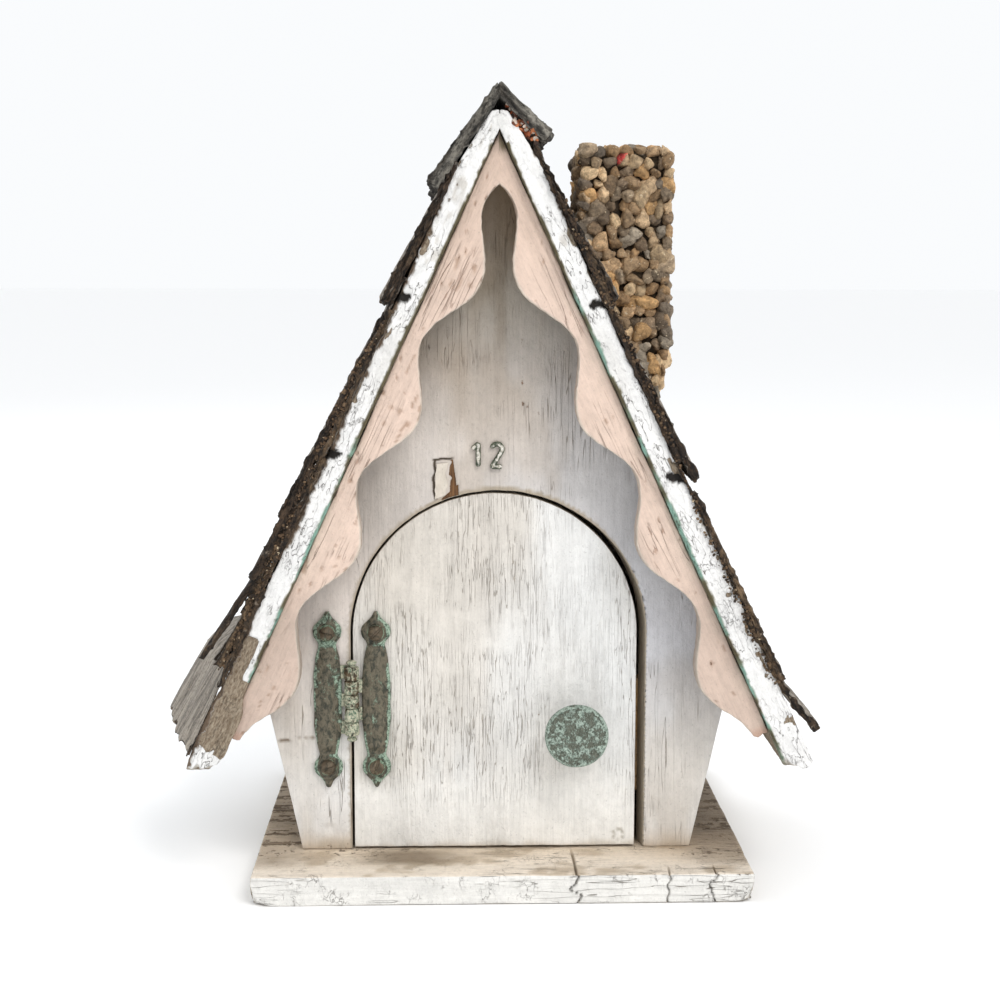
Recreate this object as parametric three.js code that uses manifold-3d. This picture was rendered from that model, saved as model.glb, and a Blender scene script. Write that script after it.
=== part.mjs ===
import * as THREE from "three";
import { mergeVertices } from "three/addons/utils/BufferGeometryUtils.js";
import Module from "manifold-3d";

// A chalet birdhouse: a base board, four walls that lean outwards, a steep roof of two boards covered
// with split wooden shakes, scalloped gable trim, a pebble chimney, and an arched door on an H hinge.
// Sizes are in millimetres. +Z is up and the front faces -Y. The origin is on the underside of the base,
// on the centre line of the house.

const degrees = THREE.MathUtils.degToRad;

// Glue lines and seats keep this gap between two pieces.
const SEAT_GAP = 0.3;

// Base board
const BASE_THICK = 15;
const BASE_MARGIN_SIDE = 25; // beyond the feet of the side walls
const BASE_MARGIN_FRONT = 40; // beyond the front and back walls
const BASE_OFFSET_X = 2.3; // the house stands slightly to the left of the board's centre

// Door
const DOOR_WIDTH = 144.4;
const DOOR_THICK = 12;
const DOOR_LEG = 113.3; // from the top of the base to where the arch springs
const DOOR_HINGE_GAP = 1.2;
const DOOR_FREE_GAP = 3.2;
const DOOR_FOOT_GAP = 1.3;

// Walls
const HOUSE_DEPTH = 150; // over the front and back walls
const WALL_THICK = 12;
const WALL_LEAN = degrees(12.4);
const SIDE_WALL_RISE = 97.8; // height of a side wall's outer face
const JAMB_WIDTH = 25.6; // wall left beside the doorway, at the base
const ENTRY_HOLE_RADIUS = 19;
const ENTRY_HOLE_DROP = 137; // from the inside of the ridge to the hole's centre

// Roof boards
const ROOF_ANGLE = degrees(24.7); // from vertical
const ROOF_THICK = 11;
const ROOF_OVERHANG = 33; // beyond the front and back walls
const EAVE_DROP = 46.8; // from the top corner of a side wall to the end of the roof board
const CREST_RISE = 9; // flat top of the boards, above the inside of the ridge
const CREST_HALF_WIDTH = 3.5;
const CREST_CHAMFER = 20; // length down the slope that is planed thinner

// Gable trim: a wave along the slope, measured down from the ridge and in from the roof board
const TRIM_THICK = 12;
const TRIM_SETBACK = 4; // behind the front edges of the roof boards
const TRIM_MEAN_WIDTH = 14.8;
const TRIM_WAVE = 7.3;
const TRIM_WAVE_PITCH = 72.5;
const TRIM_FIRST_WAIST = 33;
const TRIM_END_SHORT = 20; // stops this far before the end of the roof board
const TRIM_STEP = 4.5;

// Shakes: each course starts under the butts of the course above
const SHAKE_OVERHANG = 2; // past the front and back edges of the roof boards
const SHAKE_HEAD_LAP = 14;
const SHAKE_HEAD_TOP = 2;
const SHAKE_BUTT_UNDER = 4;
const SHAKE_BUTT_TOP = 8.3;
const SHAKE_SIDE_GAP = 0.6;
const SHAKE_SHORTEST = 30; // a shorter piece is left out below the chimney, and the next course reaches up
// Where each course's butts come, as parts of the slope, and where its joints are, as parts of the depth.
const LEFT_COURSES = [
  { butt: 0.278, joints: [0.33, 0.68] },
  { butt: 0.543, joints: [0.24, 0.6] },
  { butt: 0.713, joints: [0.38, 0.74] },
  { butt: 0.847, joints: [0.28, 0.62] },
  { butt: 0.982, joints: [0.35, 0.7] },
];
const RIGHT_COURSES = [
  { butt: 0.272, joints: [0.24] },
  { butt: 0.55, joints: [0.32] },
  { butt: 0.81, joints: [0.26, 0.5, 0.75] },
  { butt: 0.957, joints: [0.33, 0.66] },
];

// Ridge caps: pairs of shakes leaning on each other over the crest
const CAP_PAIRS = 3;
const CAP_THICK = 4.2;
const CAP_OVERHANG = 3;
const CAP_PEAK_THICK = 4.3; // at the ridge, where the two caps are dressed flat
const CAP_CLEARANCE = 0.4; // over the heads of the first course
const CAP_LEFT = { foot: 38, lift: 5.4 };
const CAP_RIGHT = { foot: 14, lift: 7 };

// Chimney
const CHIMNEY_WIDTH = 54.7;
const CHIMNEY_DEPTH = 56;
const CHIMNEY_X = 68.75;
const CHIMNEY_Y = 20;
const CHIMNEY_BELOW_CREST = 8;
const PEBBLE_LAYER = 7;
const CHIMNEY_HEEL_RISE = 77; // the lower outer edge is cut away below this height over the roof
const CHIMNEY_HEEL_INSET = 11.5;
const FLASHING_GAP = 0.8;

// Door hinge
const HINGE_RISE = 79.7; // from the top of the base to the hinge's centre
const LEAF_OFFSET = 12.3; // from the pin to a leaf's centre line
const LEAF_THICK = 2;
const BARREL_RADIUS = 3.8;
const BARREL_LENGTH = 36;
const KNUCKLES = 5;
const KNUCKLE_GAP = 0.3;
const PIN_RADIUS = 1.6;
const PIN_CLEARANCE = 0.15;
const PIN_OUT = 4.2; // in front of the wall
const FINIAL_SCREW_OFFSET = 35;
// Half outline of a leaf above its centre, as half width and height.
const LEAF_OUTLINE = [
  [7.3, 0],
  [7.1, 12],
  [6, 22],
  [4.1, 28.6],
  [7, 32.6],
  [7.5, 35.6],
  [5.4, 39.8],
  [2.1, 43],
  [0.8, 45.7],
];

// Screws
const SCREW_HEAD_RADIUS = 3.9;
const SCREW_HEAD_HEIGHT = 2.6;
const SCREW_SHANK_RADIUS = 1.3;
const SCREW_LENGTH = 9;
const SCREW_HOLE_CLEARANCE = 0.3;

// Door knob
const KNOB_RADIUS = 16;
const KNOB_OUT = 26; // from the door's face to the front of the knob
const KNOB_NECK_RADIUS = 5;
const KNOB_RISE = 66;
const KNOB_FROM_FREE_EDGE = 31.9;
const KNOB_BORE_DEPTH = 12;
const KNOB_SCREW_RADIUS = 2;
const KNOB_SCREW_HEAD = 4.2;

// Door stop
const STOP_WIDTH = 18;
const STOP_HEIGHT = 60;
const STOP_THICK = 8;
const STOP_OVERLAP = 9; // how far it reaches across the doorway

// House digits
const DIGIT_HEIGHT = 13.3;
const DIGIT_WIDTH = 7;
const DIGIT_THICK = 1.6;
const DIGIT_SPACING = 10.4;
const DIGITS_ABOVE_ARCH = 10.3;
const DIGITS_X = -5.4;

const wasm = await Module();
wasm.setup();

// --- Finishes -------------------------------------------------------------------------------------

const finish = (color, roughness, metalness = 0) =>
  new THREE.MeshStandardMaterial({ color, roughness, metalness });
const whitePaint = finish(0xd9d6ce, 0.8);
const pinkPaint = finish(0xdcbfb2, 0.75);
const dirtyBase = finish(0xa8977f, 0.9);
const bareWood = finish(0x9a8467, 0.9);
const weatheredShake = finish(0x4b3f35, 0.95);
const pebble = finish(0x8b7a68, 0.85);
const mortar = finish(0x6f675c, 0.95);
const patina = finish(0x4a5a50, 0.55, 0.8);
const steel = finish(0x7d7a75, 0.4, 0.9);

// --- Shared geometry ------------------------------------------------------------------------------

// The prism of an outline drawn in X and Z, between two places in Y.
function slab(outline, yFront, yBack, curveSegments = 24) {
  const depth = yBack - yFront;
  const geometry = new THREE.ExtrudeGeometry(outline, { depth, bevelEnabled: false, curveSegments });
  return geometry.rotateX(Math.PI / 2).translate(0, yBack, 0);
}

const polygon = (points) => new THREE.Shape(points.map(([x, z]) => new THREE.Vector2(x, z)));

// A closed profile of radius and distance, turned about the Y axis, with distance pointing forwards.
function turned(profile, segments = 32) {
  const points = profile.map(([r, d]) => new THREE.Vector2(r, d));
  return new THREE.LatheGeometry(points, segments).rotateX(Math.PI);
}

// A rod along Y.
function rodY(radius, x, z, yFront, yBack, segments = 20) {
  const rod = new THREE.CylinderGeometry(radius, radius, yBack - yFront, segments);
  return rod.translate(x, (yFront + yBack) / 2, z);
}

// A rod along Z.
function rodZ(radius, x, y, zLow, zHigh, segments = 24) {
  const rod = new THREE.CylinderGeometry(radius, radius, zHigh - zLow, segments).rotateX(Math.PI / 2);
  return rod.translate(x, y, (zLow + zHigh) / 2);
}

function toSolid(geometry) {
  const bare = geometry.clone();
  bare.deleteAttribute("normal");
  bare.deleteAttribute("uv");
  const merged = mergeVertices(bare, 1e-4);
  const triVerts = new Uint32Array(merged.index.array);
  const vertProperties = merged.attributes.position.array;
  return new wasm.Manifold(new wasm.Mesh({ numProp: 3, vertProperties, triVerts }));
}

function toGeometry(solid) {
  const mesh = solid.getMesh();
  const geometry = new THREE.BufferGeometry();
  geometry.setAttribute("position", new THREE.BufferAttribute(mesh.vertProperties, 3));
  geometry.setIndex(new THREE.BufferAttribute(mesh.triVerts, 1));
  geometry.computeVertexNormals();
  return geometry;
}

const joined = (...geometries) => toGeometry(geometries.map(toSolid).reduce((a, b) => a.add(b)));
const cut = (geometry, ...tools) =>
  toGeometry(tools.map(toSolid).reduce((solid, tool) => solid.subtract(tool), toSolid(geometry)));

// --- Places worked out from the sizes --------------------------------------------------------------

const FLOOR_Z = BASE_THICK + SEAT_GAP;
const WALL_FRONT_Y = -HOUSE_DEPTH / 2;
const WALL_BACK_Y = HOUSE_DEPTH / 2;
const WALL_INNER_Y = WALL_FRONT_Y + WALL_THICK;
const FOOT_HALF_WIDTH = DOOR_WIDTH / 2 + (DOOR_HINGE_GAP + DOOR_FREE_GAP) / 2 + JAMB_WIDTH;
const SHOULDER_X = FOOT_HALF_WIDTH + SIDE_WALL_RISE * Math.tan(WALL_LEAN);
const SHOULDER_Z = BASE_THICK + SIDE_WALL_RISE;
const RIDGE_Z = SHOULDER_Z + SHOULDER_X / Math.tan(ROOF_ANGLE);
const EAVE_Z = SHOULDER_Z - EAVE_DROP;
const SLOPE_LENGTH = (RIDGE_Z - EAVE_Z) / Math.cos(ROOF_ANGLE);
const CREST_Z = RIDGE_Z + CREST_RISE;
const ROOF_REACH = HOUSE_DEPTH / 2 + ROOF_OVERHANG; // from the middle to the front or the back

// A point on the right slope: s down from the ridge along the underside, h out from the underside.
function slopePoint(s, h) {
  const x = s * Math.sin(ROOF_ANGLE) + h * Math.cos(ROOF_ANGLE);
  const z = RIDGE_Z - s * Math.cos(ROOF_ANGLE) + h * Math.sin(ROOF_ANGLE);
  return [x, z];
}

// How far down the slope the vertical line at x meets the surface at height h.
const slopeAt = (x, h) => (x - h * Math.cos(ROOF_ANGLE)) / Math.sin(ROOF_ANGLE);

const mirrored = (points) => points.map(([x, z]) => [-x, z]);
const onSide = (side, points) => (side === "left" ? mirrored(points) : points);

const DOOR_RADIUS = DOOR_WIDTH / 2;
const DOOR_X = (DOOR_HINGE_GAP - DOOR_FREE_GAP) / 2;
const OPENING_RADIUS = DOOR_RADIUS + (DOOR_HINGE_GAP + DOOR_FREE_GAP) / 2;
const SPRING_Z = BASE_THICK + DOOR_LEG;
const PIN_X = -OPENING_RADIUS + DOOR_HINGE_GAP / 2;
const PIN_Y = WALL_FRONT_Y - PIN_OUT;
const HINGE_Z = BASE_THICK + HINGE_RISE;
const KNOB_X = DOOR_X + DOOR_RADIUS - KNOB_FROM_FREE_EDGE;
const KNOB_Z = BASE_THICK + KNOB_RISE;

// --- The tree of pieces -----------------------------------------------------------------------------

const birdhouse = new THREE.Group();
const house = new THREE.Group();
const door = new THREE.Group();
door.position.set(PIN_X, PIN_Y, HINGE_Z); // the door swings about this point's vertical line
birdhouse.add(house, door);

// Adds one named piece, whose geometry is in the birdhouse's frame, to a group.
function add(group, name, geometry, material) {
  const mesh = new THREE.Mesh(geometry, material);
  mesh.name = name;
  mesh.position.copy(group.position).negate();
  group.add(mesh);
}

// --- Base and walls ---------------------------------------------------------------------------------

function makeBase() {
  const width = 2 * (FOOT_HALF_WIDTH + BASE_MARGIN_SIDE);
  const depth = HOUSE_DEPTH + 2 * BASE_MARGIN_FRONT;
  const board = new THREE.BoxGeometry(width, depth, BASE_THICK);
  add(house, "base_board", board.translate(BASE_OFFSET_X, 0, BASE_THICK / 2), dirtyBase);
}

// The gable outline from the left foot over the ridge to the right foot.
function gablePoints() {
  const lean = Math.tan(WALL_LEAN);
  const under = -SEAT_GAP;
  // where the leaning side line meets the underside of the roof
  const [x0, z0] = slopePoint(0, under);
  const slope = Math.tan(ROOF_ANGLE);
  const z = (x0 + z0 * slope - FOOT_HALF_WIDTH + BASE_THICK * lean) / (slope + lean);
  const shoulder = [FOOT_HALF_WIDTH + (z - BASE_THICK) * lean, z];
  const apex = [0, RIDGE_Z + under / Math.sin(ROOF_ANGLE)];
  const foot = [FOOT_HALF_WIDTH + SEAT_GAP * lean, FLOOR_Z];
  return { foot, shoulder, apex };
}

function screwHoles(screws, yFront, yBack) {
  const radius = SCREW_SHANK_RADIUS + SCREW_HOLE_CLEARANCE;
  return screws.map(([x, z]) => rodY(radius, x, z, yFront, yBack));
}

const finialScrews = (side) =>
  [1, -1].map((end) => [PIN_X + side * LEAF_OFFSET, HINGE_Z + end * FINIAL_SCREW_OFFSET]);

function makeFrontWall() {
  const { foot, shoulder, apex } = gablePoints();
  const outline = new THREE.Shape();
  outline.moveTo(-foot[0], foot[1]);
  outline.lineTo(-shoulder[0], shoulder[1]);
  outline.lineTo(...apex);
  outline.lineTo(...shoulder);
  outline.lineTo(...foot);
  outline.lineTo(OPENING_RADIUS, FLOOR_Z);
  outline.lineTo(OPENING_RADIUS, SPRING_Z);
  outline.absarc(0, SPRING_Z, OPENING_RADIUS, 0, Math.PI, false);
  outline.lineTo(-OPENING_RADIUS, FLOOR_Z);
  const wall = slab(outline, WALL_FRONT_Y, WALL_INNER_Y, 48);
  const pilots = screwHoles(finialScrews(-1), WALL_FRONT_Y - 1, WALL_FRONT_Y + SCREW_LENGTH);
  add(house, "front_wall", cut(wall, ...pilots), whitePaint);
}

function makeBackWall() {
  const { foot, shoulder, apex } = gablePoints();
  const outline = polygon([foot, shoulder, apex, ...mirrored([shoulder, foot])]);
  const hole = new THREE.Path();
  hole.absarc(0, RIDGE_Z - ENTRY_HOLE_DROP, ENTRY_HOLE_RADIUS, 0, Math.PI * 2, true);
  outline.holes.push(hole);
  add(house, "back_wall", slab(outline, WALL_BACK_Y - WALL_THICK, WALL_BACK_Y), whitePaint);
}

function makeSideWall(side) {
  const { foot, shoulder } = gablePoints();
  const lean = Math.tan(WALL_LEAN);
  const across = WALL_THICK / Math.cos(WALL_LEAN);
  // the inner face meets the underside of the roof further up
  const rise = across / (Math.tan(ROOF_ANGLE) + lean);
  const innerTop = [shoulder[0] + rise * lean - across, shoulder[1] + rise];
  const outline = polygon(onSide(side, [foot, shoulder, innerTop, [foot[0] - across, foot[1]]]));
  const reach = WALL_BACK_Y - WALL_THICK - SEAT_GAP;
  add(house, `side_wall_${side}`, slab(outline, -reach, reach), whitePaint);
}

// --- Roof -------------------------------------------------------------------------------------------

function makeRoofBoard(side) {
  const seam = SEAT_GAP / 2;
  const seamZ = RIDGE_Z - seam / Math.tan(ROOF_ANGLE);
  const endRise = ROOF_THICK * Math.tan(ROOF_ANGLE);
  const points = [
    [seam, seamZ],
    slopePoint(SLOPE_LENGTH, 0),
    slopePoint(SLOPE_LENGTH + endRise, ROOF_THICK),
    slopePoint(CREST_CHAMFER, ROOF_THICK),
    [CREST_HALF_WIDTH, CREST_Z],
    [seam, CREST_Z],
  ];
  const board = slab(polygon(onSide(side, points)), -ROOF_REACH, ROOF_REACH);
  add(house, `roof_board_${side}`, board, bareWood);
}

// Width of the trim, s down from the ridge.
function trimWidth(s) {
  const phase = (2 * Math.PI * (s - TRIM_FIRST_WAIST)) / TRIM_WAVE_PITCH;
  return TRIM_MEAN_WIDTH - TRIM_WAVE * Math.cos(phase);
}

function makeGableTrim(side) {
  const seam = SEAT_GAP / 2;
  const end = SLOPE_LENGTH - TRIM_END_SHORT;
  const steps = Math.round(end / TRIM_STEP);
  const inner = [];
  for (let i = steps; i >= 0; i--) {
    const s = (end * i) / steps;
    const point = slopePoint(s, -trimWidth(s));
    if (point[0] < seam) break;
    inner.push(point);
  }
  // the wave runs on to the seam between the two boards
  const [lastX, lastZ] = inner[inner.length - 1];
  const [nextX, nextZ] = inner[inner.length - 2];
  const seamZ = lastZ + ((lastX - seam) * (lastZ - nextZ)) / (nextX - lastX);
  const topZ = RIDGE_Z - SEAT_GAP / Math.sin(ROOF_ANGLE) - seam / Math.tan(ROOF_ANGLE);
  const points = [[seam, topZ], slopePoint(end, -SEAT_GAP), ...inner, [seam, seamZ]];
  const front = -ROOF_REACH + TRIM_SETBACK;
  add(house, `gable_trim_${side}`, slab(polygon(onSide(side, points)), front, front + TRIM_THICK), pinkPaint);
}

// --- Chimney ----------------------------------------------------------------------------------------

const CHIMNEY_FRONT_Y = CHIMNEY_Y - CHIMNEY_DEPTH / 2;
const CHIMNEY_BACK_Y = CHIMNEY_Y + CHIMNEY_DEPTH / 2;

// The chimney's side view, drawn in by inset, standing lift above the roof board.
function chimneyOutline(inset, lift) {
  const left = CHIMNEY_X - CHIMNEY_WIDTH / 2 + inset;
  const right = CHIMNEY_X + CHIMNEY_WIDTH / 2 - inset;
  const top = CREST_Z - CHIMNEY_BELOW_CREST - inset;
  const heel = right - CHIMNEY_HEEL_INSET;
  const roofPoint = (x) => slopePoint(slopeAt(x, ROOF_THICK + lift), ROOF_THICK + lift);
  const [, heelTop] = roofPoint(CHIMNEY_X + CHIMNEY_WIDTH / 2);
  return polygon([
    roofPoint(left),
    roofPoint(heel),
    [right, heelTop + CHIMNEY_HEEL_RISE],
    [right, top],
    [left, top],
  ]);
}

function makeChimney() {
  const core = slab(
    chimneyOutline(PEBBLE_LAYER, SEAT_GAP),
    CHIMNEY_FRONT_Y + PEBBLE_LAYER,
    CHIMNEY_BACK_Y - PEBBLE_LAYER,
  );
  const outside = slab(chimneyOutline(0, SEAT_GAP), CHIMNEY_FRONT_Y, CHIMNEY_BACK_Y);
  const room = PEBBLE_LAYER - SEAT_GAP;
  const inside = slab(chimneyOutline(room, -ROOF_THICK), CHIMNEY_FRONT_Y + room, CHIMNEY_BACK_Y - room);
  add(house, "chimney_core", core, mortar);
  add(house, "pebble_skin", cut(outside, inside), pebble);
}

// --- Shakes -----------------------------------------------------------------------------------------

const FIRST_HEAD_S = CREST_CHAMFER + 2;
const CHIMNEY_HEAD_S = slopeAt(CHIMNEY_X - CHIMNEY_WIDTH / 2, ROOF_THICK + SHAKE_BUTT_TOP) - FLASHING_GAP;
const CHIMNEY_HEEL_S =
  slopeAt(CHIMNEY_X + CHIMNEY_WIDTH / 2 - CHIMNEY_HEEL_INSET, ROOF_THICK) + FLASHING_GAP;

function shakePoints(head, butt) {
  return [
    slopePoint(head, ROOF_THICK + SEAT_GAP),
    slopePoint(butt, ROOF_THICK + SHAKE_BUTT_UNDER),
    slopePoint(butt, ROOF_THICK + SHAKE_BUTT_TOP),
    slopePoint(head, ROOF_THICK + SHAKE_HEAD_TOP),
  ];
}

// Where the joints of a course come in Y. A course beside the chimney also breaks at its two faces.
function courseEdges(course, besideChimney) {
  const reach = ROOF_REACH + SHAKE_OVERHANG;
  const edges = course.joints.map((part) => -reach + 2 * reach * part);
  if (besideChimney) edges.push(CHIMNEY_FRONT_Y - SHAKE_SIDE_GAP / 2, CHIMNEY_BACK_Y + SHAKE_SIDE_GAP / 2);
  return [-reach, ...edges.sort((a, b) => a - b), reach];
}

function makeShakes(side, courses) {
  let head = FIRST_HEAD_S;
  courses.forEach((course, row) => {
    const butt = SLOPE_LENGTH * course.butt;
    const besideChimney = side === "right" && butt > CHIMNEY_HEAD_S && head < CHIMNEY_HEEL_S - SHAKE_SHORTEST;
    const edges = courseEdges(course, besideChimney);
    let count = 0;
    for (let i = 0; i + 1 < edges.length; i++) {
      const front = edges[i] + (i > 0 ? SHAKE_SIDE_GAP / 2 : 0);
      const back = edges[i + 1] - (i + 2 < edges.length ? SHAKE_SIDE_GAP / 2 : 0);
      const atChimney = side === "right" && front < CHIMNEY_BACK_Y && back > CHIMNEY_FRONT_Y;
      // a shake in the chimney's way stops above it or starts below it
      let from = head;
      let to = butt;
      if (atChimney && head < CHIMNEY_HEAD_S) to = Math.min(to, CHIMNEY_HEAD_S);
      else if (atChimney && head < CHIMNEY_HEEL_S + SHAKE_SHORTEST - SHAKE_HEAD_LAP) from = CHIMNEY_HEEL_S;
      const shortest = to < butt ? SHAKE_HEAD_LAP : SHAKE_SHORTEST;
      if (to - from < shortest) continue;
      count += 1;
      const outline = polygon(onSide(side, shakePoints(from, to)));
      add(house, `shake_${side}_${row + 1}_${count}`, slab(outline, front, back), weatheredShake);
    }
    head = butt - SHAKE_HEAD_LAP;
  });
}

// Height at which the left caps' undersides, which just clear the first course, reach the seam.
function capRidgeZ(seam) {
  const [headX, headZ] = slopePoint(FIRST_HEAD_S, ROOF_THICK + SHAKE_HEAD_TOP + CAP_CLEARANCE);
  const [footX, footZ] = slopePoint(CAP_LEFT.foot, ROOF_THICK + CAP_LEFT.lift);
  return headZ + ((headX - seam) * (headZ - footZ)) / (footX - headX);
}

function makeRidgeCaps(side, { foot, lift }) {
  const seam = SEAT_GAP / 2;
  const ridge = new THREE.Vector2(seam, capRidgeZ(seam));
  const low = new THREE.Vector2(...slopePoint(foot, ROOF_THICK + lift));
  const along = low.clone().sub(ridge).normalize();
  const out = new THREE.Vector2(-along.y, along.x).multiplyScalar(CAP_THICK);
  const lowOut = low.clone().add(out);
  const topZ = ridge.y + CAP_PEAK_THICK;
  const topX = lowOut.x + ((topZ - lowOut.y) * along.x) / along.y;
  const points = [ridge.toArray(), low.toArray(), lowOut.toArray(), [topX, topZ], [seam, topZ]];
  const outline = polygon(onSide(side, points));
  const reach = ROOF_REACH + CAP_OVERHANG;
  const length = (2 * reach) / CAP_PAIRS;
  for (let i = 0; i < CAP_PAIRS; i++) {
    const front = -reach + i * length;
    const cap = slab(outline, front, front + length - SHAKE_SIDE_GAP);
    add(house, `ridge_cap_${side}_${i + 1}`, cap, weatheredShake);
  }
}

// --- Door and its fittings ----------------------------------------------------------------------------

function makeDoorPanel() {
  const outline = new THREE.Shape();
  const foot = BASE_THICK + DOOR_FOOT_GAP;
  outline.moveTo(DOOR_X - DOOR_RADIUS, foot);
  outline.lineTo(DOOR_X + DOOR_RADIUS, foot);
  outline.lineTo(DOOR_X + DOOR_RADIUS, SPRING_Z);
  outline.absarc(DOOR_X, SPRING_Z, DOOR_RADIUS, 0, Math.PI, false);
  const panel = slab(outline, WALL_FRONT_Y, WALL_FRONT_Y + DOOR_THICK, 48);
  const pilots = screwHoles(finialScrews(1), WALL_FRONT_Y - 1, WALL_FRONT_Y + SCREW_LENGTH);
  const knobHole = rodY(
    KNOB_SCREW_RADIUS + SCREW_HOLE_CLEARANCE,
    KNOB_X,
    KNOB_Z,
    WALL_FRONT_Y - 1,
    WALL_FRONT_Y + DOOR_THICK + 1,
  );
  add(door, "door_panel", cut(panel, ...pilots, knobHole), whitePaint);
}

function makeKnob() {
  const bore = KNOB_SCREW_RADIUS + SCREW_HOLE_CLEARANCE;
  const neckEnd = KNOB_OUT - 10;
  const profile = [
    [0, KNOB_BORE_DEPTH],
    [bore, KNOB_BORE_DEPTH],
    [bore, SEAT_GAP],
    [KNOB_NECK_RADIUS + 4, SEAT_GAP],
    [KNOB_NECK_RADIUS + 4, 2],
    [KNOB_NECK_RADIUS, 4.5],
    [KNOB_NECK_RADIUS, neckEnd],
    [KNOB_RADIUS - 4, neckEnd + 3.5],
    [KNOB_RADIUS, neckEnd + 5.5],
    [KNOB_RADIUS, KNOB_OUT - 2.6],
    [KNOB_RADIUS - 1.6, KNOB_OUT - 0.9],
    [0, KNOB_OUT],
  ];
  const knob = turned(profile, 40).translate(KNOB_X, WALL_FRONT_Y, KNOB_Z);
  add(door, "door_knob", knob, patina);
}

function makeKnobScrew() {
  const headFace = WALL_FRONT_Y + DOOR_THICK + SEAT_GAP;
  const tip = WALL_FRONT_Y - KNOB_BORE_DEPTH + 1.5;
  const shank = rodY(KNOB_SCREW_RADIUS, KNOB_X, KNOB_Z, tip, headFace + 0.5);
  const head = rodY(KNOB_SCREW_HEAD, KNOB_X, KNOB_Z, headFace, headFace + 2.4);
  add(door, "knob_screw", joined(shank, head), steel);
}

function leafOutline(centreX) {
  const upper = LEAF_OUTLINE.map(([w, z]) => new THREE.Vector2(w, z));
  const curve = new THREE.SplineCurve(upper).getPoints(32).map((p) => [p.x, p.y]);
  const right = [...curve.slice(1).reverse().map(([x, z]) => [x, -z]), ...curve];
  right.reverse();
  const left = right.map(([x, z]) => [-x, z]).reverse();
  return polygon([...right, ...left].map(([x, z]) => [centreX + x, HINGE_Z + z]));
}

// One leaf: a flat strap with finial ends and every second knuckle of the barrel.
function makeLeaf(group, name, side) {
  const centreX = PIN_X + side * LEAF_OFFSET;
  const back = WALL_FRONT_Y - SEAT_GAP;
  const parts = [slab(leafOutline(centreX), back - LEAF_THICK, back)];
  const pitch = BARREL_LENGTH / KNUCKLES;
  const bottom = HINGE_Z - BARREL_LENGTH / 2;
  for (let k = side < 0 ? 0 : 1; k < KNUCKLES; k += 2) {
    const low = bottom + k * pitch + KNUCKLE_GAP / 2;
    const high = bottom + (k + 1) * pitch - KNUCKLE_GAP / 2;
    const reach = LEAF_OFFSET - PIN_RADIUS;
    const tab = new THREE.BoxGeometry(reach, LEAF_THICK, high - low);
    tab.translate(centreX - (side * reach) / 2, back - LEAF_THICK / 2, (low + high) / 2);
    parts.push(tab, rodZ(BARREL_RADIUS, PIN_X, PIN_Y, low, high));
  }
  const pinBore = rodZ(
    PIN_RADIUS + PIN_CLEARANCE,
    PIN_X,
    PIN_Y,
    bottom - 1,
    bottom + BARREL_LENGTH + 1,
    20,
  );
  const holes = screwHoles(finialScrews(side), back - LEAF_THICK - 1, back + 1);
  add(group, name, cut(joined(...parts), pinBore, ...holes), patina);
}

function makePin() {
  const half = BARREL_LENGTH / 2 + KNUCKLE_GAP;
  const cap = PIN_RADIUS + 1.1;
  const profile = [
    [0, -half - 2.6],
    [cap - 1, -half - 2.3],
    [cap, -half - 1.2],
    [cap, -half],
    [PIN_RADIUS, -half],
    [PIN_RADIUS, half],
    [cap, half],
    [cap, half + 1.2],
    [cap - 1, half + 2.3],
    [0, half + 2.6],
  ];
  const points = profile.map(([r, z]) => new THREE.Vector2(r, z));
  const pin = new THREE.LatheGeometry(points, 20).rotateX(Math.PI / 2).translate(PIN_X, PIN_Y, HINGE_Z);
  add(house, "hinge_pin", pin, patina);
}

function makeHingeScrews(group, side) {
  finialScrews(side).forEach(([x, z], i) => {
    const seat = LEAF_THICK + 2 * SEAT_GAP;
    const top = seat + SCREW_HEAD_HEIGHT;
    const profile = [
      [0, SEAT_GAP - SCREW_LENGTH + 1],
      [SCREW_SHANK_RADIUS, SEAT_GAP - SCREW_LENGTH + 2.5],
      [SCREW_SHANK_RADIUS, seat],
      [SCREW_HEAD_RADIUS, seat],
      [SCREW_HEAD_RADIUS * 0.86, seat + SCREW_HEAD_HEIGHT * 0.5],
      [SCREW_HEAD_RADIUS * 0.5, seat + SCREW_HEAD_HEIGHT * 0.87],
      [0, top],
    ];
    const screw = turned(profile, 20).translate(x, WALL_FRONT_Y, z);
    const where = side < 0 ? "wall" : "door";
    add(group, `hinge_screw_${where}_${i === 0 ? "top" : "bottom"}`, screw, patina);
  });
}

function makeDoorStop() {
  const x = OPENING_RADIUS - STOP_OVERLAP + STOP_WIDTH / 2;
  const y = WALL_INNER_Y + SEAT_GAP + STOP_THICK / 2;
  const block = new THREE.BoxGeometry(STOP_WIDTH, STOP_THICK, STOP_HEIGHT);
  add(house, "door_stop", block.translate(x, y, BASE_THICK + DOOR_LEG / 2), bareWood);
}

// --- House digits: a one and a two, cut from sheet metal ------------------------------------------------

function digitOne() {
  const w = DIGIT_WIDTH;
  const h = DIGIT_HEIGHT;
  return polygon([
    [w * 0.1, 0],
    [w * 0.9, 0],
    [w * 0.9, h * 0.14],
    [w * 0.66, h * 0.14],
    [w * 0.66, h],
    [w * 0.42, h],
    [w * 0.08, h * 0.8],
    [w * 0.08, h * 0.66],
    [w * 0.36, h * 0.76],
    [w * 0.36, h * 0.14],
    [w * 0.1, h * 0.14],
  ]);
}

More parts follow.
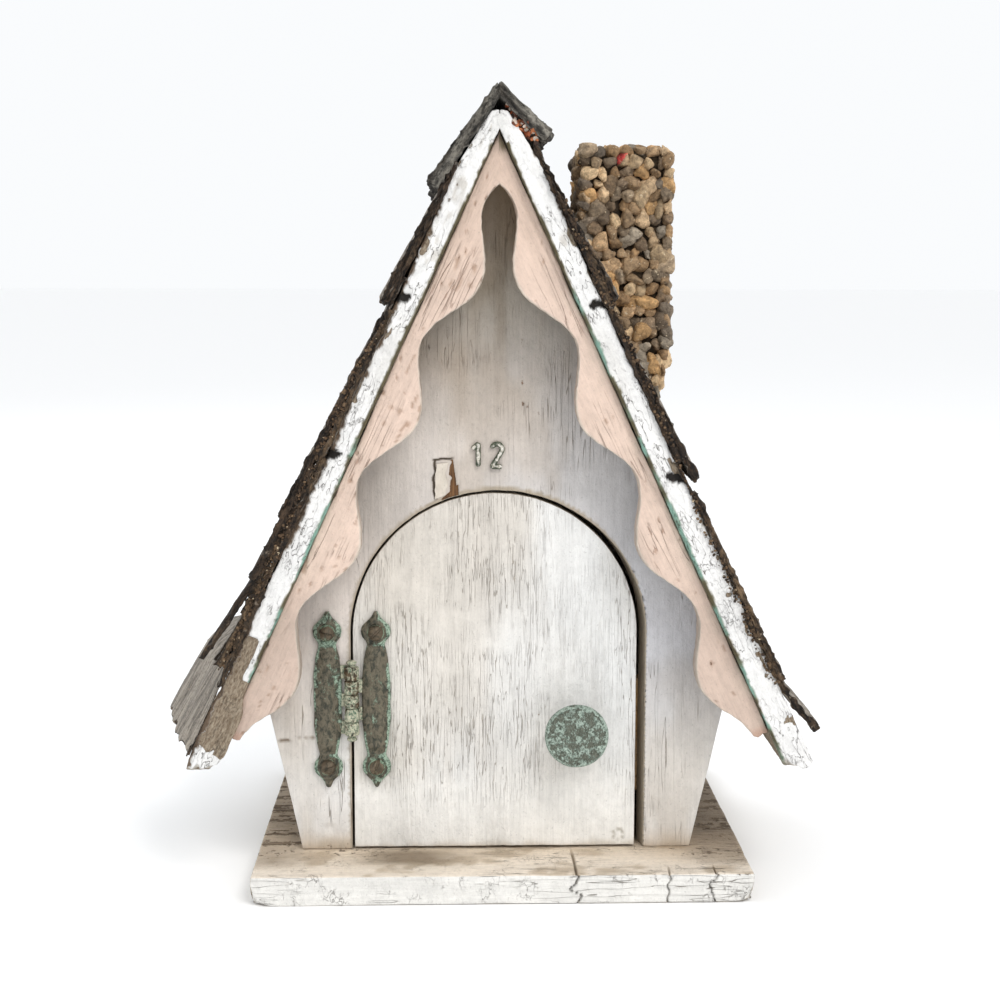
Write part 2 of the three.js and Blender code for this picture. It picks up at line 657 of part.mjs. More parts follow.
function digitTwo() {
  const w = DIGIT_WIDTH;
  const h = DIGIT_HEIGHT;
  const stroke = w * 0.3;
  const bowl = w / 2;
  const bowlZ = h - bowl;
  const shape = new THREE.Shape();
  shape.moveTo(0, 0);
  shape.lineTo(w, 0);
  shape.lineTo(w, stroke);
  shape.lineTo(w * 0.52, stroke);
  shape.bezierCurveTo(w * 0.75, h * 0.36, w, h * 0.48, w, bowlZ);
  shape.absarc(bowl, bowlZ, bowl, 0, Math.PI, false);
  shape.lineTo(stroke, bowlZ);
  shape.absarc(bowl, bowlZ, bowl - stroke, Math.PI, 0, true);
  shape.bezierCurveTo(w - stroke, h * 0.52, w * 0.36, h * 0.4, 0, stroke);
  return shape;
}

function makeDigits() {
  const z = SPRING_Z + OPENING_RADIUS + DIGITS_ABOVE_ARCH;
  const back = WALL_FRONT_Y - SEAT_GAP;
  [digitOne(), digitTwo()].forEach((shape, i) => {
    const x = DIGITS_X + (i - 0.5) * DIGIT_SPACING - DIGIT_WIDTH / 2;
    const digit = slab(shape, back - DIGIT_THICK, back, 10).translate(x, 0, z);
    add(house, `house_digit_${i + 1}`, digit, patina);
  });
}

makeBase();
makeFrontWall();
makeBackWall();
for (const side of ["left", "right"]) {
  makeSideWall(side);
  makeRoofBoard(side);
  makeGableTrim(side);
}
makeChimney();
makeShakes("left", LEFT_COURSES);
makeShakes("right", RIGHT_COURSES);
makeRidgeCaps("left", CAP_LEFT);
makeRidgeCaps("right", CAP_RIGHT);
makeDoorPanel();
makeKnob();
makeKnobScrew();
makeLeaf(house, "hinge_leaf_wall", -1);
makeLeaf(door, "hinge_leaf_door", 1);
makePin();
makeHingeScrews(house, -1);
makeHingeScrews(door, 1);
makeDoorStop();
makeDigits();

export default birdhouse;
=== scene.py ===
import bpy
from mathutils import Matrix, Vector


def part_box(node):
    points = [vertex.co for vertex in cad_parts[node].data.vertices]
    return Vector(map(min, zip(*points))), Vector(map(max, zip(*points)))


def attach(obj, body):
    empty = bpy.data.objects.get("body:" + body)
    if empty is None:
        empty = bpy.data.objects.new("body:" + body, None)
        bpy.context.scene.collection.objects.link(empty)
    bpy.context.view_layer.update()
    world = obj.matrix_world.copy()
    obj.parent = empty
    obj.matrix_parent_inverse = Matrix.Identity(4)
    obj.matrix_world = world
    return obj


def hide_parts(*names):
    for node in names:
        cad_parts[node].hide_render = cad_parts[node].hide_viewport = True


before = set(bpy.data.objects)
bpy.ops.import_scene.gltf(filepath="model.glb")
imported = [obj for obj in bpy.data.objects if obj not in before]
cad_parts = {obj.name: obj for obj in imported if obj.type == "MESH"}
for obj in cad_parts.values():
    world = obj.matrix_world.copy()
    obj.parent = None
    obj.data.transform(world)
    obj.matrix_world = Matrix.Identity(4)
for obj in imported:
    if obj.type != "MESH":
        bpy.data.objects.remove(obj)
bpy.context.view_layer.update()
MM, TO_MM = 0.001, 1000

import itertools
import math

import bmesh
import bpy
import numpy as np
from mathutils import Matrix, Vector
from mathutils.geometry import delaunay_2d_cdt

# Lengths below are in millimetres, and turn into metres where a mesh is made. The house faces -Y.


# ---------------------------------------------------------------------------------------------
# Studio. A plain pale floor, soft light from all round, a broad warm lamp at the front right and a
# weaker cool one behind on the left.
# The camera stands in front, a little left of the ridge, and looks slightly down.
EYE = Vector((-0.0228, -0.907, 0.3105))
YAW, PITCH, ROLL = (math.radians(angle) for angle in (1.667, 7.77, 0.1))

LENS, SENSOR = 60.1, 36
HOUSE_MIDDLE = Vector((0, 0, 0.18))
FLOOR_REACH = 30

look = Vector((math.sin(YAW) * math.cos(PITCH), math.cos(YAW) * math.cos(PITCH), -math.sin(PITCH)))
aim = look.to_track_quat("-Z", "Y").to_matrix().to_4x4()
camera_data = bpy.data.cameras.new("camera")
camera_data.lens = LENS
camera_data.sensor_width = SENSOR
camera = bpy.data.objects.new("camera", camera_data)
camera.matrix_world = Matrix.Translation(EYE) @ aim @ Matrix.Rotation(ROLL, 4, "Z")
bpy.context.collection.objects.link(camera)
bpy.context.scene.camera = camera
bpy.context.scene.view_settings.view_transform = "Standard"

sky = bpy.data.worlds.new("studio_light")
sky.use_nodes = True
sky.node_tree.nodes["Background"].inputs["Color"].default_value = (0.97, 0.985, 1.0, 1)
sky.node_tree.nodes["Background"].inputs["Strength"].default_value = 0.985
bpy.context.scene.world = sky


def soft_lamp(name, place, size, power, colour):
    """A square lamp that looks at the middle of the house."""
    data = bpy.data.lights.new(name, "AREA")
    data.size = size
    data.energy = power
    data.color = colour
    lamp = bpy.data.objects.new(name, data)
    place = Vector(place)
    lamp.matrix_world = Matrix.Translation(place) @ (
        (HOUSE_MIDDLE - place).to_track_quat("-Z", "Y").to_matrix().to_4x4()
    )
    bpy.context.collection.objects.link(lamp)


soft_lamp("window_lamp", (0.85, -1.7, 2.0), 1.0, 27.5, (1.0, 0.975, 0.95))
soft_lamp("back_lamp", (-1.4, 1.2, 1.6), 1.2, 12, (0.92, 0.96, 1.0))


def tone(red, green, blue):
    """A colour as it looks on a screen, 0 to 255, in the linear values that a material takes."""
    parts = np.array([red, green, blue], float) / 255
    linear = np.where(parts <= 0.04045, parts / 12.92, ((parts + 0.055) / 1.055) ** 2.4)
    return (*linear.tolist(), 1.0)


class Finish:
    """A material being mixed: short names for the few kinds of node that these finishes use."""

    def __init__(self, name):
        self.material = bpy.data.materials.new(name)
        self.material.use_nodes = True
        self.tree = self.material.node_tree
        self.tree.nodes.clear()
        self.place = self.node("TexCoord").outputs["Object"]

    def node(self, kind, inputs=None, **settings):
        node = self.tree.nodes.new("ShaderNode" + kind)
        for key, value in settings.items():
            setattr(node, key, value)
        for key, value in (inputs or {}).items():
            if isinstance(value, bpy.types.NodeSocket):
                self.tree.links.new(value, node.inputs[key])
            else:
                node.inputs[key].default_value = value
        return node

    def stretch(self, scale):
        return self.node("Mapping", {"Vector": self.place, "Scale": scale}).outputs[0]

    def noise(self, where, scale, detail=3.0, rough=0.55, twist=0.0):
        sizes = {"Vector": where, "Scale": scale, "Detail": detail, "Roughness": rough, "Distortion": twist}
        return self.node("TexNoise", sizes).outputs["Fac"]

    def cells(self, where, scale, feature="DISTANCE_TO_EDGE"):
        node = self.node("TexVoronoi", {"Vector": where, "Scale": scale}, feature=feature)
        return node.outputs["Distance"]

    def bent(self, where, scale, amount):
        """The same places pushed about, so that a pattern laid on them is not regular."""
        push = self.node("TexNoise", {"Vector": where, "Scale": scale, "Detail": 4.0}).outputs["Color"]
        shift = self.node("VectorMath", {0: push, 1: (amount,) * 3}, operation="MULTIPLY").outputs[0]
        return self.node("VectorMath", {0: where, 1: shift}, operation="ADD").outputs[0]

    def layer(self, name, colour=False):
        return self.node("Attribute", attribute_name=name).outputs["Color" if colour else "Fac"]

    def sums(self, operation, values):
        total = values[0]
        for value in values[1:]:
            total = self.node("Math", {0: total, 1: value}, operation=operation).outputs[0]
        return total

    def times(self, *values):
        return self.sums("MULTIPLY", values)

    def plus(self, *values):
        return self.sums("ADD", values)

    def less(self, *values):
        return self.sums("SUBTRACT", values)

    def most(self, *values):
        return self.sums("MAXIMUM", values)

    def span(self, value, low, high, out_low=0.0, out_high=1.0):
        """value between low and high, eased, becomes out_low to out_high."""
        limits = {"From Min": low, "From Max": high, "To Min": out_low, "To Max": out_high}
        return self.node("MapRange", {"Value": value, **limits}, interpolation_type="SMOOTHSTEP").outputs[0]

    def mix(self, factor, a, b, blend="MIX"):
        node = self.node("Mix", {0: factor, 6: a, 7: b}, data_type="RGBA", blend_type=blend)
        return node.outputs[2]

    def shade(self, colour, factor):
        """colour times a grey factor."""
        grey = self.node("CombineColor", {0: factor, 1: factor, 2: factor}).outputs[0]
        return self.mix(1.0, colour, grey, "MULTIPLY")

    def lines(self, where, scale, width, detail=2.0, twist=0.1):
        """1 along thin wandering lines, 0 elsewhere."""
        field = self.noise(where, scale, detail, 0.5, twist)
        away = self.sums("ABSOLUTE", (self.less(field, 0.5), 0.0))
        return self.span(away, 0.0, width, 1.0, 0.0)

    def done(self, colour, roughness, height, depth, metallic=0.0):
        bump = self.node("Bump", {"Height": height, "Distance": depth, "Strength": 1.0}).outputs[0]
        parts = {"Base Color": colour, "Roughness": roughness, "Normal": bump, "Metallic": metallic}
        shader = self.node("BsdfPrincipled", parts)
        self.node("OutputMaterial", {"Surface": shader.outputs[0]})
        return self.material


floor_finish = Finish("studio_floor")
floor_grain = floor_finish.noise(floor_finish.place, 900)
floor_colour = floor_finish.mix(floor_grain, (0.96, 0.96, 0.96, 1), (0.985, 0.985, 0.985, 1))
floor_mesh = bpy.data.meshes.new("studio_floor")
floor_corners = [(x * FLOOR_REACH, y * FLOOR_REACH, 0) for x, y in ((-1, -1), (1, -1), (1, 1), (-1, 1))]
floor_mesh.from_pydata(floor_corners, [], [(0, 1, 2, 3)])
floor_mesh.materials.append(floor_finish.done(floor_colour, 0.9, floor_grain, 0.00002))
floor = bpy.data.objects.new("studio_floor", floor_mesh)
bpy.context.collection.objects.link(floor)


# ---------------------------------------------------------------------------------------------
# Base board. A sawn plank under the whole house, its front edge painted white and its top worn
# to a dirty beige. The walls stand on it. The paint has cracked across in three places.
def box_mm(node):
    """The lowest and highest corner of a piece, in millimetres."""
    low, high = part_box(node)
    return low * TO_MM, high * TO_MM


def wander(points, seed=0):
    """A smooth random value from -1 to 1 at each point, the same on every run."""
    spot = np.asarray(points, float) + 17.31 * seed
    cell = np.floor(spot).astype(np.int64)
    part = spot - cell
    part = part * part * (3 - 2 * part)
    total = np.zeros(spot.shape[:-1])
    for corner in itertools.product((0, 1), repeat=3):
        key = cell + np.array(corner)
        mixed = (key[..., 0] * 374761393 + key[..., 1] * 668265263 + key[..., 2] * 1440662683) & 0xFFFFFFFF
        mixed = ((mixed ^ (mixed >> 13)) * 1274126177) & 0xFFFFFFFF
        value = ((mixed ^ (mixed >> 16)) & 0xFFFF) / 32767.5 - 1
        weight = np.prod(np.where(np.array(corner) == 1, part, 1 - part), axis=-1)
        total += weight * value
    return total


def at(x, y=0, z=0):
    """Points from their coordinates, where a plain number stands for all of them."""
    return np.stack(np.broadcast_arrays(x, y, z), -1)


def arc(middle_x, middle_z, radius, rise, angles):
    """Places round a circle, or round an oval where its rise is not its radius."""
    return [(middle_x + radius * math.cos(a), middle_z + rise * math.sin(a)) for a in angles]


def ease(value, low, high):
    """0 below low, 1 above high, smooth between; low may be above high."""
    part = np.clip((value - low) / (high - low), 0, 1)
    return part * part * (3 - 2 * part)


def stations(low, high, pitch, fine=0.45):
    """Places along one side of a board, closer together at both ends."""
    ends = np.array([0, fine, 2.2 * fine])
    inner = np.linspace(low + 4 * fine, high - 4 * fine, max(2, int((high - low) / pitch)))
    return np.concatenate([low + ends, inner, high - ends[::-1]])


def board(xs, ys, zs, radius):
    """The skin of a board with rounded edges: points, and faces of four points."""
    counts = (len(xs), len(ys), len(zs))
    place = np.indices(counts)
    outside = ((place == 0) | (place == np.reshape(counts, (3, 1, 1, 1)) - 1)).any(0)
    number = np.full(counts, -1)
    number[outside] = np.arange(outside.sum())
    points = np.stack(np.meshgrid(xs, ys, zs, indexing="ij"), -1)[outside]
    faces = []
    for axis in range(3):
        for end in (0, counts[axis] - 1):
            side = np.take(number, end, axis)
            corners = [side[:-1, :-1], side[1:, :-1], side[1:, 1:], side[:-1, 1:]]
            faces.append(np.stack(corners, -1).reshape(-1, 4))
    faces = np.concatenate(faces)
    flat = np.cross(points[faces[:, 2]] - points[faces[:, 0]], points[faces[:, 3]] - points[faces[:, 1]])
    inward = (flat * (points[faces].mean(1) - points.mean(0))).sum(1) < 0
    faces[inward] = faces[inward, ::-1]
    low = np.array([xs[0], ys[0], zs[0]]) + radius
    high = np.array([xs[-1], ys[-1], zs[-1]]) - radius
    core = np.clip(points, low, high)
    away = points - core
    length = np.linalg.norm(away, axis=1, keepdims=True)
    return core + away * (radius / np.maximum(length, 1e-9)), faces


def plank(low, high, pitches, radius):
    """A board that fills a piece's box, with its points about these pitches apart."""
    return board(*(stations(a, b, pitch) for a, b, pitch in zip(low, high, pitches)), radius)


def facing(points, faces):
    """The outward direction at each point of a closed skin."""
    normals = np.zeros_like(points)
    for group in {len(face) for face in faces}:
        part = np.array([face for face in faces if len(face) == group])
        across = points[part[:, 2]] - points[part[:, 0]]
        along = points[part[:, -1]] - points[part[:, 1]]
        flat = np.cross(across, along)
        for corner in range(group):
            np.add.at(normals, part[:, corner], flat)
    return normals / np.maximum(np.linalg.norm(normals, axis=1, keepdims=True), 1e-9)


def make_piece(name, points, faces, finish, tints=None, layers=None, place=None):
    """A mesh object from points in millimetres, with a colour and named layers at each point."""
    mesh = bpy.data.meshes.new(name)
    mesh.from_pydata((points * MM).tolist(), [], [tuple(int(i) for i in face) for face in faces])
    if tints is not None:
        parts = np.array([tone(*row)[:3] + (1.0,) for row in np.clip(tints, 0, 255)])
        mesh.attributes.new("tint", "FLOAT_COLOR", "POINT").data.foreach_set("color", parts.ravel())
    for layer, values in (layers or {}).items():
        values = np.broadcast_to(np.clip(values, 0.0, 1.0), len(points))
        mesh.attributes.new(layer, "FLOAT", "POINT").data.foreach_set("value", values)
    skin = bmesh.new()
    skin.from_mesh(mesh)
    bmesh.ops.recalc_face_normals(skin, faces=skin.faces)
    skin.to_mesh(mesh)
    skin.free()
    mesh.materials.append(finish)
    mesh.shade_smooth()
    piece = bpy.data.objects.new(name, mesh)
    if place is not None:
        piece.matrix_world = place
    bpy.context.collection.objects.link(piece)
    return piece


def fasten(piece, body, slot, *nodes):
    """The piece moves with a body and stands for its nodes, if it has any. Its slot is not used."""
    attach(piece, body)
    if nodes:
        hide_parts(*nodes)


def blend_tints(weights, *tints):
    """Colours mixed in turn: each later one covers the earlier ones by its weight."""
    total = np.broadcast_to(np.array(tints[0], float), (len(weights[0]), 3)).copy()
    for weight, tint in zip(weights, tints[1:]):
        part = np.clip(weight, 0, 1)[:, None]
        total = total * (1 - part) + np.array(tint, float) * part
    return total


def aged_paint(
    name, grain, wood, dark_wood, crack, fineness=230, width=0.012, cover=0.5, craze=0.0, depth=0.0008
):
    """Old paint over wood. grain shrinks the pattern along the boards; cracks run that way too."""
    mix = Finish(name)
    along = mix.stretch(grain)
    fine = mix.noise(along, 1100, 5, 0.7)
    streak = mix.noise(along, 170, 4)
    blotch = mix.noise(mix.place, 34, 4)
    speck = mix.noise(mix.place, 750, 2)
    patch = mix.span(mix.noise(mix.place, 21, 3), cover, cover + 0.12)
    patch = mix.times(patch, mix.less(1.0, mix.layer("sound")))
    cracks = mix.times(mix.lines(along, fineness, width), patch)
    wide = mix.times(mix.lines(along, fineness * 0.35, width * 0.35, 4.0), 0.6)
    cracks = mix.most(cracks, mix.times(wide, patch))
    if craze:
        net = mix.span(mix.cells(mix.bent(mix.stretch((1, 1, 0.6)), 420, 0.004), 300), 0.0, 0.035, 0.8, 0.0)
        torn = mix.span(mix.noise(mix.place, 60, 5, 0.7), 0.62 - craze, 0.74 - craze)
        cracks = mix.most(cracks, mix.times(net, torn))
    colour = mix.shade(mix.layer("tint", True), mix.span(streak, 0.3, 0.7, 0.95, 1.03))
    colour = mix.shade(colour, mix.span(blotch, 0.3, 0.7, 0.93, 1.03))
    rubbed = mix.noise(mix.stretch((1, 1, 0.7)), 300, 6, 0.72)
    colour = mix.shade(colour, mix.span(rubbed, 0.32, 0.6, 0.93, 1.03))
    colour = mix.shade(colour, mix.span(speck, 0.27, 0.36, 0.82, 1.0))
    colour = mix.shade(colour, mix.span(fine, 0.3, 0.7, 0.94, 1.04))
    colour = mix.mix(mix.times(cracks, 0.7), colour, crack)
    worn = mix.plus(mix.layer("bare"), mix.times(mix.less(streak, 0.5), 0.7))
    worn = mix.plus(worn, mix.times(mix.less(mix.noise(mix.place, 300, 4), 0.5), 0.6))
    worn = mix.span(worn, 0.46, 0.54)
    timber = mix.mix(mix.span(fine, 0.3, 0.7), dark_wood, wood)
    colour = mix.mix(worn, colour, timber)
    height = mix.plus(mix.times(fine, 0.25), mix.times(streak, 0.2))
    height = mix.plus(height, mix.times(rubbed, 0.9))
    height = mix.less(height, mix.times(cracks, 0.55))
    height = mix.less(height, mix.times(worn, 0.5))
    rough = mix.span(worn, 0.0, 1.0, 0.62, 0.9)
    return mix.done(colour, rough, height, depth)


ALONG_X = (0.07, 1.0, 1.0)
ALONG_Z = (1.0, 1.0, 0.045)
GREY_TIMBER = tone(150, 132, 110)
DARK_TIMBER = tone(84, 68, 52)
CRACK = tone(112, 99, 82)

base_low, base_high = box_mm("base_board")
base_crack_x = (38, 85, 107)
near_cracks = [x + np.arange(-5, 5.1, 0.45) for x in base_crack_x]
base_xs = np.concatenate([stations(base_low.x, base_high.x, 1.9)] + near_cracks)
points, faces = board(
    np.unique(base_xs), stations(base_low.y, base_high.y, 2.3), stations(base_low.z, base_high.z, 1.1), 1.3
)
out = facing(points, faces)
x, y, z = points.T
front = ease(-out[:, 1], 0.3, 0.8)
top = ease(out[:, 2], 0.5, 0.9)
relief = 0.35 * wander(points * (0.03, 0.06, 0.1), 1) + 0.12 * wander(points * (0.12, 0.5, 0.9), 2)
relief += front * ease(x, -45, -10) * 0.35 * wander(points * (0.07, 0.2, 0.8), 3)
base_cracks = np.zeros(len(points))
for crack_x, opening, reach in zip(base_crack_x, (0.9, 0.6, 0.55), (42, 12, 14)):
    path = crack_x + (1.4 + 2.2 * front) * wander(at(0, y * 0.05, z * 0.3), crack_x)
    cleft = ease(np.abs(x - path), opening, 0.2) * ease(y, base_low.y + reach, base_low.y + reach * 0.6)
    base_cracks = np.maximum(base_cracks, cleft)
relief -= 1.5 * base_cracks
for end in (base_low.x, base_high.x):
    near = np.abs(x - end) + np.abs(y - base_low.y) * 0.8 + z * 0.9
    relief -= 2.2 * ease(near + 2 * wander(points * 0.3, 4), 9, 3)
points += out * relief[:, None]
points[:, 2] = np.maximum(points[:, 2], 0)
rearward = ease(y, -112, -55)
stain = ease(wander(points * (0.05, 0.09, 0.1), 5) + 0.5 * wander(points * (0.2, 0.3, 0.2), 6), 0.1, 0.8)
sides = ease(np.abs(x), 88, 116) * top * ease(y, -108, -92)
foot = ease(np.abs(x + 45), 38, 4) * ease(y, -72, -84) * ease(y, -104, -92) * top
tints = blend_tints(
    [
        front, top, top * rearward, top * ease(x, 60, 110) * rearward, top * stain * 0.5,
        sides * 0.5, foot * 0.7,
    ],
    (196, 186, 170), (239, 237, 232), (250, 237, 220), (230, 211, 186), (166, 146, 122),
    (168, 147, 120), (160, 142, 120), (112, 94, 72),
)
tints -= (base_cracks * (60 + 30 * (x < 60)))[:, None]
bare = 0.18 + 0.06 * top + 0.16 * top * rearward + 0.06 * sides
bare += 0.16 * ease(z, 13, 15) * front + 0.2 * (1 - front) * (1 - top)
paint_along_x = aged_paint(
    "paint_on_plank", ALONG_X, GREY_TIMBER, DARK_TIMBER, CRACK, 260, 0.012, 0.45, 0.11, 0.0014
)
base_piece = make_piece("base_board_worn", points, faces, paint_along_x, tints, {"bare": bare})
fasten(base_piece, "house", "weathered_base", "base_board")


# ---------------------------------------------------------------------------------------------
# Side walls. Two low boards that lean outwards with the gables. They are nailed between the front
# and back walls, painted white outside, and stand on the base.
WALL_LEAN = math.radians(12.4)
SIDE_WALL_THICK = 12
WALL_RISE = 97.5

paint_along_z = aged_paint(
    "paint_on_wall", ALONG_Z, GREY_TIMBER, DARK_TIMBER, tone(128, 114, 96), 300, 0.009
)
for side, sign in (("left", -1), ("right", 1)):
    low, high = box_mm("side_wall_" + side)
    points, faces = board(
        stations(0, SIDE_WALL_THICK, 1.5), stations(low.y, high.y, 2.4), stations(low.z, high.z, 2.0), 0.6
    )
    out = facing(points, faces)
    points += out * (0.2 * wander(points * (0.1, 0.3, 0.05), 7 + sign))[:, None]
    inset, y, z = points.T
    foot_x = max(abs(low.x), abs(high.x)) - WALL_RISE * math.tan(WALL_LEAN)
    bevel = (high.z - low.z - WALL_RISE) / SIDE_WALL_THICK * inset
    z = low.z + (z - low.z) * (WALL_RISE + bevel) / (high.z - low.z)
    x = sign * (foot_x - inset + (z - low.z) * math.tan(WALL_LEAN))
    points = at(x, y, z)
    damp = ease(z + 5 * wander(points * 0.1, 8), 34, 17)
    drips = ease(wander(points * (0.1, 0.09, 0.012), 9), 0.15, 0.6)
    tints = blend_tints([drips * 0.4, damp * 0.6], (215, 209, 198), (176, 164, 146), (140, 122, 98))
    piece = make_piece(
        f"side_wall_{side}_worn", points, faces, paint_along_z, tints, {"bare": 0.2 + 0.22 * damp}
    )
    fasten(piece, "house", "white_paint", "side_wall_" + side)


# ---------------------------------------------------------------------------------------------
# Front and back walls. Each is one wide board sawn to the gable, with slanting sides. The front has
# the arched doorway, its right jamb cut at a bevel; the back has the round entry hole.
def resample(corners, pitch):
    """A closed outline as points about a pitch apart, corners kept."""
    places = []
    for start, end in zip(corners, corners[1:] + corners[:1]):
        count = max(1, round(math.dist(start, end) / pitch))
        places += [
            (start[0] + (end[0] - start[0]) * k / count, start[1] + (end[1] - start[1]) * k / count)
            for k in range(count)
        ]
    return np.array(places)


def inside(places, loops):
    """True where a place is inside the outline and outside its holes."""
    crossings = np.zeros(len(places), int)
    for loop in loops:
        for (ax, az), (bx, bz) in zip(loop, np.roll(loop, -1, 0)):
            span = (places[:, 1] > min(az, bz)) & (places[:, 1] <= max(az, bz))
            if az != bz:
                crossings += span & (places[:, 0] < ax + (places[:, 1] - az) / (bz - az) * (bx - ax))
    return crossings % 2 == 1


def panel(outlines, y_front, y_back, pitch, radius, fine=()):
    """A flat board of any outline, rounded at both faces. The first outline runs anticlockwise as
    seen from the front, holes run clockwise. fine lists places with a closer pitch."""
    loops = [resample(corners, pitch * 0.8) for corners in outlines]
    inward = []
    for loop in loops:
        along = np.roll(loop, -1, 0) - np.roll(loop, 1, 0)
        along /= np.linalg.norm(along, axis=1, keepdims=True)
        inward.append(np.stack([-along[:, 1], along[:, 0]], -1))
    rims = [loop + normal * radius for loop, normal in zip(loops, inward)]
    low, high = loops[0].min(0), loops[0].max(0)
    grids = [(low[0], high[0], low[1], high[1], pitch)] + list(fine)
    inner = []
    for x0, x1, z0, z1, step in grids:
        gx, gz = np.meshgrid(np.arange(x0, x1, step), np.arange(z0, z1, step * 0.87), indexing="ij")
        gx = gx + (np.arange(gx.shape[1]) % 2) * step / 2
        spots = np.stack([gx, gz], -1).reshape(-1, 2)
        key = np.c_[spots, spots[:, :1]] * 3.1
        spots = spots + 0.2 * step * np.stack([wander(key, k) for k in (1, 2)], -1)
        spots = spots[inside(spots, rims)]
        edge = np.concatenate(rims)
        clear = np.full(len(spots), 1e9)
        for part in np.array_split(edge, max(1, len(edge) // 200)):
            clear = np.minimum(clear, np.linalg.norm(spots[:, None] - part[None], axis=2).min(1))
        inner.append(spots[clear > 0.45 * step])
    flat = np.concatenate(rims + inner)
    edges, start = [], 0
    for rim in rims:
        count = len(rim)
        edges += [(start + k, start + (k + 1) % count) for k in range(count)]
        start += count
    made = delaunay_2d_cdt([Vector(place) for place in flat], edges, [], 0, 1e-5, False)
    flat = np.array([tuple(v) for v in made[0]])
    triangles = np.array(made[2])
    triangles = triangles[inside(flat[triangles].mean(1), rims)]
    size = len(flat)
    points = [at(flat[:, 0], depth, flat[:, 1]) for depth in (y_front, y_back)]
    faces = [tuple(t) for t in triangles] + [tuple(t[::-1] + size) for t in triangles]
    total, start = 2 * size, 0
    turns = [math.radians(a) for a in (60, 30, 0)]
    depth = y_back - y_front
    rows = [(radius * (1 - math.cos(a)), radius * (1 - math.sin(a))) for a in turns]
    rows += [(0, d) for d in np.linspace(radius, depth - radius, max(3, int(depth / 1.6)))[1:-1]]
    rows += [(inset, depth - drop) for inset, drop in reversed(rows[:3])]
    for loop, normal in zip(loops, inward):
        count = len(loop)
        last = np.arange(count) + start
        for inset, drop in rows:
            ring = loop + normal * inset
            points.append(at(ring[:, 0], y_front + drop, ring[:, 1]))
            ids = np.arange(count) + total
            faces += list(zip(last, ids, np.roll(ids, -1), np.roll(last, -1)))
            last, total = ids, total + count
        ids = np.arange(count) + start + size
        faces += list(zip(last, ids, np.roll(ids, -1), np.roll(last, -1)))
        start += count
    return np.concatenate(points), faces


wall_low, wall_high = box_mm("front_wall")
door_low, door_high = box_mm("door_panel")
FOOT_X = 100
SHOULDER_Z = wall_low.z + WALL_RISE
DOORWAY_RADIUS = 74.4
SPRING_Z = 128.3
ENTRY_RADIUS = 19
ENTRY_Z = 240
shoulders = [(wall_high.x, SHOULDER_Z), (0, wall_high.z), (wall_low.x, SHOULDER_Z)]
gable = [(FOOT_X, wall_low.z)] + shoulders + [(-FOOT_X, wall_low.z)]
ARCH_RISE = DOORWAY_RADIUS - 0.9
arch = arc(0, SPRING_Z, DOORWAY_RADIUS, ARCH_RISE, np.linspace(math.pi, 0, 60))
doorway = [(-DOORWAY_RADIUS, wall_low.z)] + arch + [(DOORWAY_RADIUS, wall_low.z)]
entry = arc(0, ENTRY_Z, ENTRY_RADIUS, ENTRY_RADIUS, np.linspace(2 * math.pi, 0, 48, endpoint=False))
# Where a flake of paint has lifted above the arch.
FLAKE_LEFT, FLAKE_RIGHT, FLAKE_FOOT, FLAKE_HEAD = -33, -20, 196, 219


def wall_colours(points, front):
    """White paint with a damp band at the foot. It darkens and browns towards the ridge, partly from dirt
    and partly as painted shade under the roof; painted shade lies beside the trims, and painted warm light
    on the left meets painted cool shade on the right.
    """
    x, y, z = points.T
    # Colour by height: the fall towards the ridge is part dirt, part painted shade under the roof overhang.
    heights = [15, 26, 60, 130, 200, 225, 262, 300, 335, 376]
    reds = [214, 226, 227, 213, 206, 214, 184, 166, 172, 186]
    greens = [202, 223, 225, 208, 201, 208, 176, 158, 156, 160]
    blues = [188, 219, 222, 206, 197, 203, 168, 146, 137, 128]
    tints = np.stack([np.interp(z, heights, shades) for shades in (reds, greens, blues)], -1)
    # Painted light and shade: warmer on the left where the lamp reaches under the roof, cooler on the right
    # where it is shaded, higher up the wall.
    side = np.clip(x / 70, -1, 1) * front * ease(z, 50, 130)
    tints *= 1 + side[:, None] * np.array([-0.022, 0.0, 0.028])
    # Painted shade cast by the gable trims: darker beside them at mid height, more so on the left.
    band = ease(np.abs(x), 30, 60) * ease(z, 140, 185) * ease(z, 260, 230)
    tints *= (1 - (0.075 - 0.04 * (x > 0)) * band)[:, None]
    drift = wander(points * (0.03, 0.1, 0.016), 11) + 0.4 * wander(points * (0.15, 0.1, 0.05), 12)
    smoke = ease(drift, 0.1, 0.9)
    tints -= (smoke * 18)[:, None] * np.array([0.8, 1.0, 1.25])
    return tints


fine_spot = (FLAKE_LEFT - 3, FLAKE_RIGHT + 3, FLAKE_FOOT - 3, FLAKE_HEAD + 3, 0.6)
points, faces = panel([gable + doorway], wall_low.y, wall_high.y, 1.7, 0.4, [fine_spot])
out = facing(points, faces)
x, y, z = points.T
front = ease(-out[:, 1], 0.5, 0.9)
relief = 0.16 * wander(points * (0.25, 0.2, 0.02), 13) + 0.07 * wander(points * (0.8, 0.5, 0.05), 14)
dent = ease(np.hypot(x + 86, z - 26), 3.2, 1)
relief -= 0.9 * dent * front
over_split = z - 74 - 0.09 * (x + 100) + 0.5 * wander(points * 0.3, 18)
split = front * ease(np.abs(over_split), 0.55, 0.15) * ease(x, -92, -95)
relief -= 0.5 * split
edge_left = FLAKE_LEFT + 1.6 + 1.2 * wander(at(z * 0.3), 15)
edge_right = FLAKE_RIGHT - 3.5 + 0.8 * wander(at(z * 0.5), 16)
in_height = ease(z, FLAKE_FOOT + 1, FLAKE_FOOT + 2) * ease(z, FLAKE_HEAD - 1, FLAKE_HEAD - 2)
chip = front * in_height * ease(x, edge_right - 0.3, edge_right + 0.3)
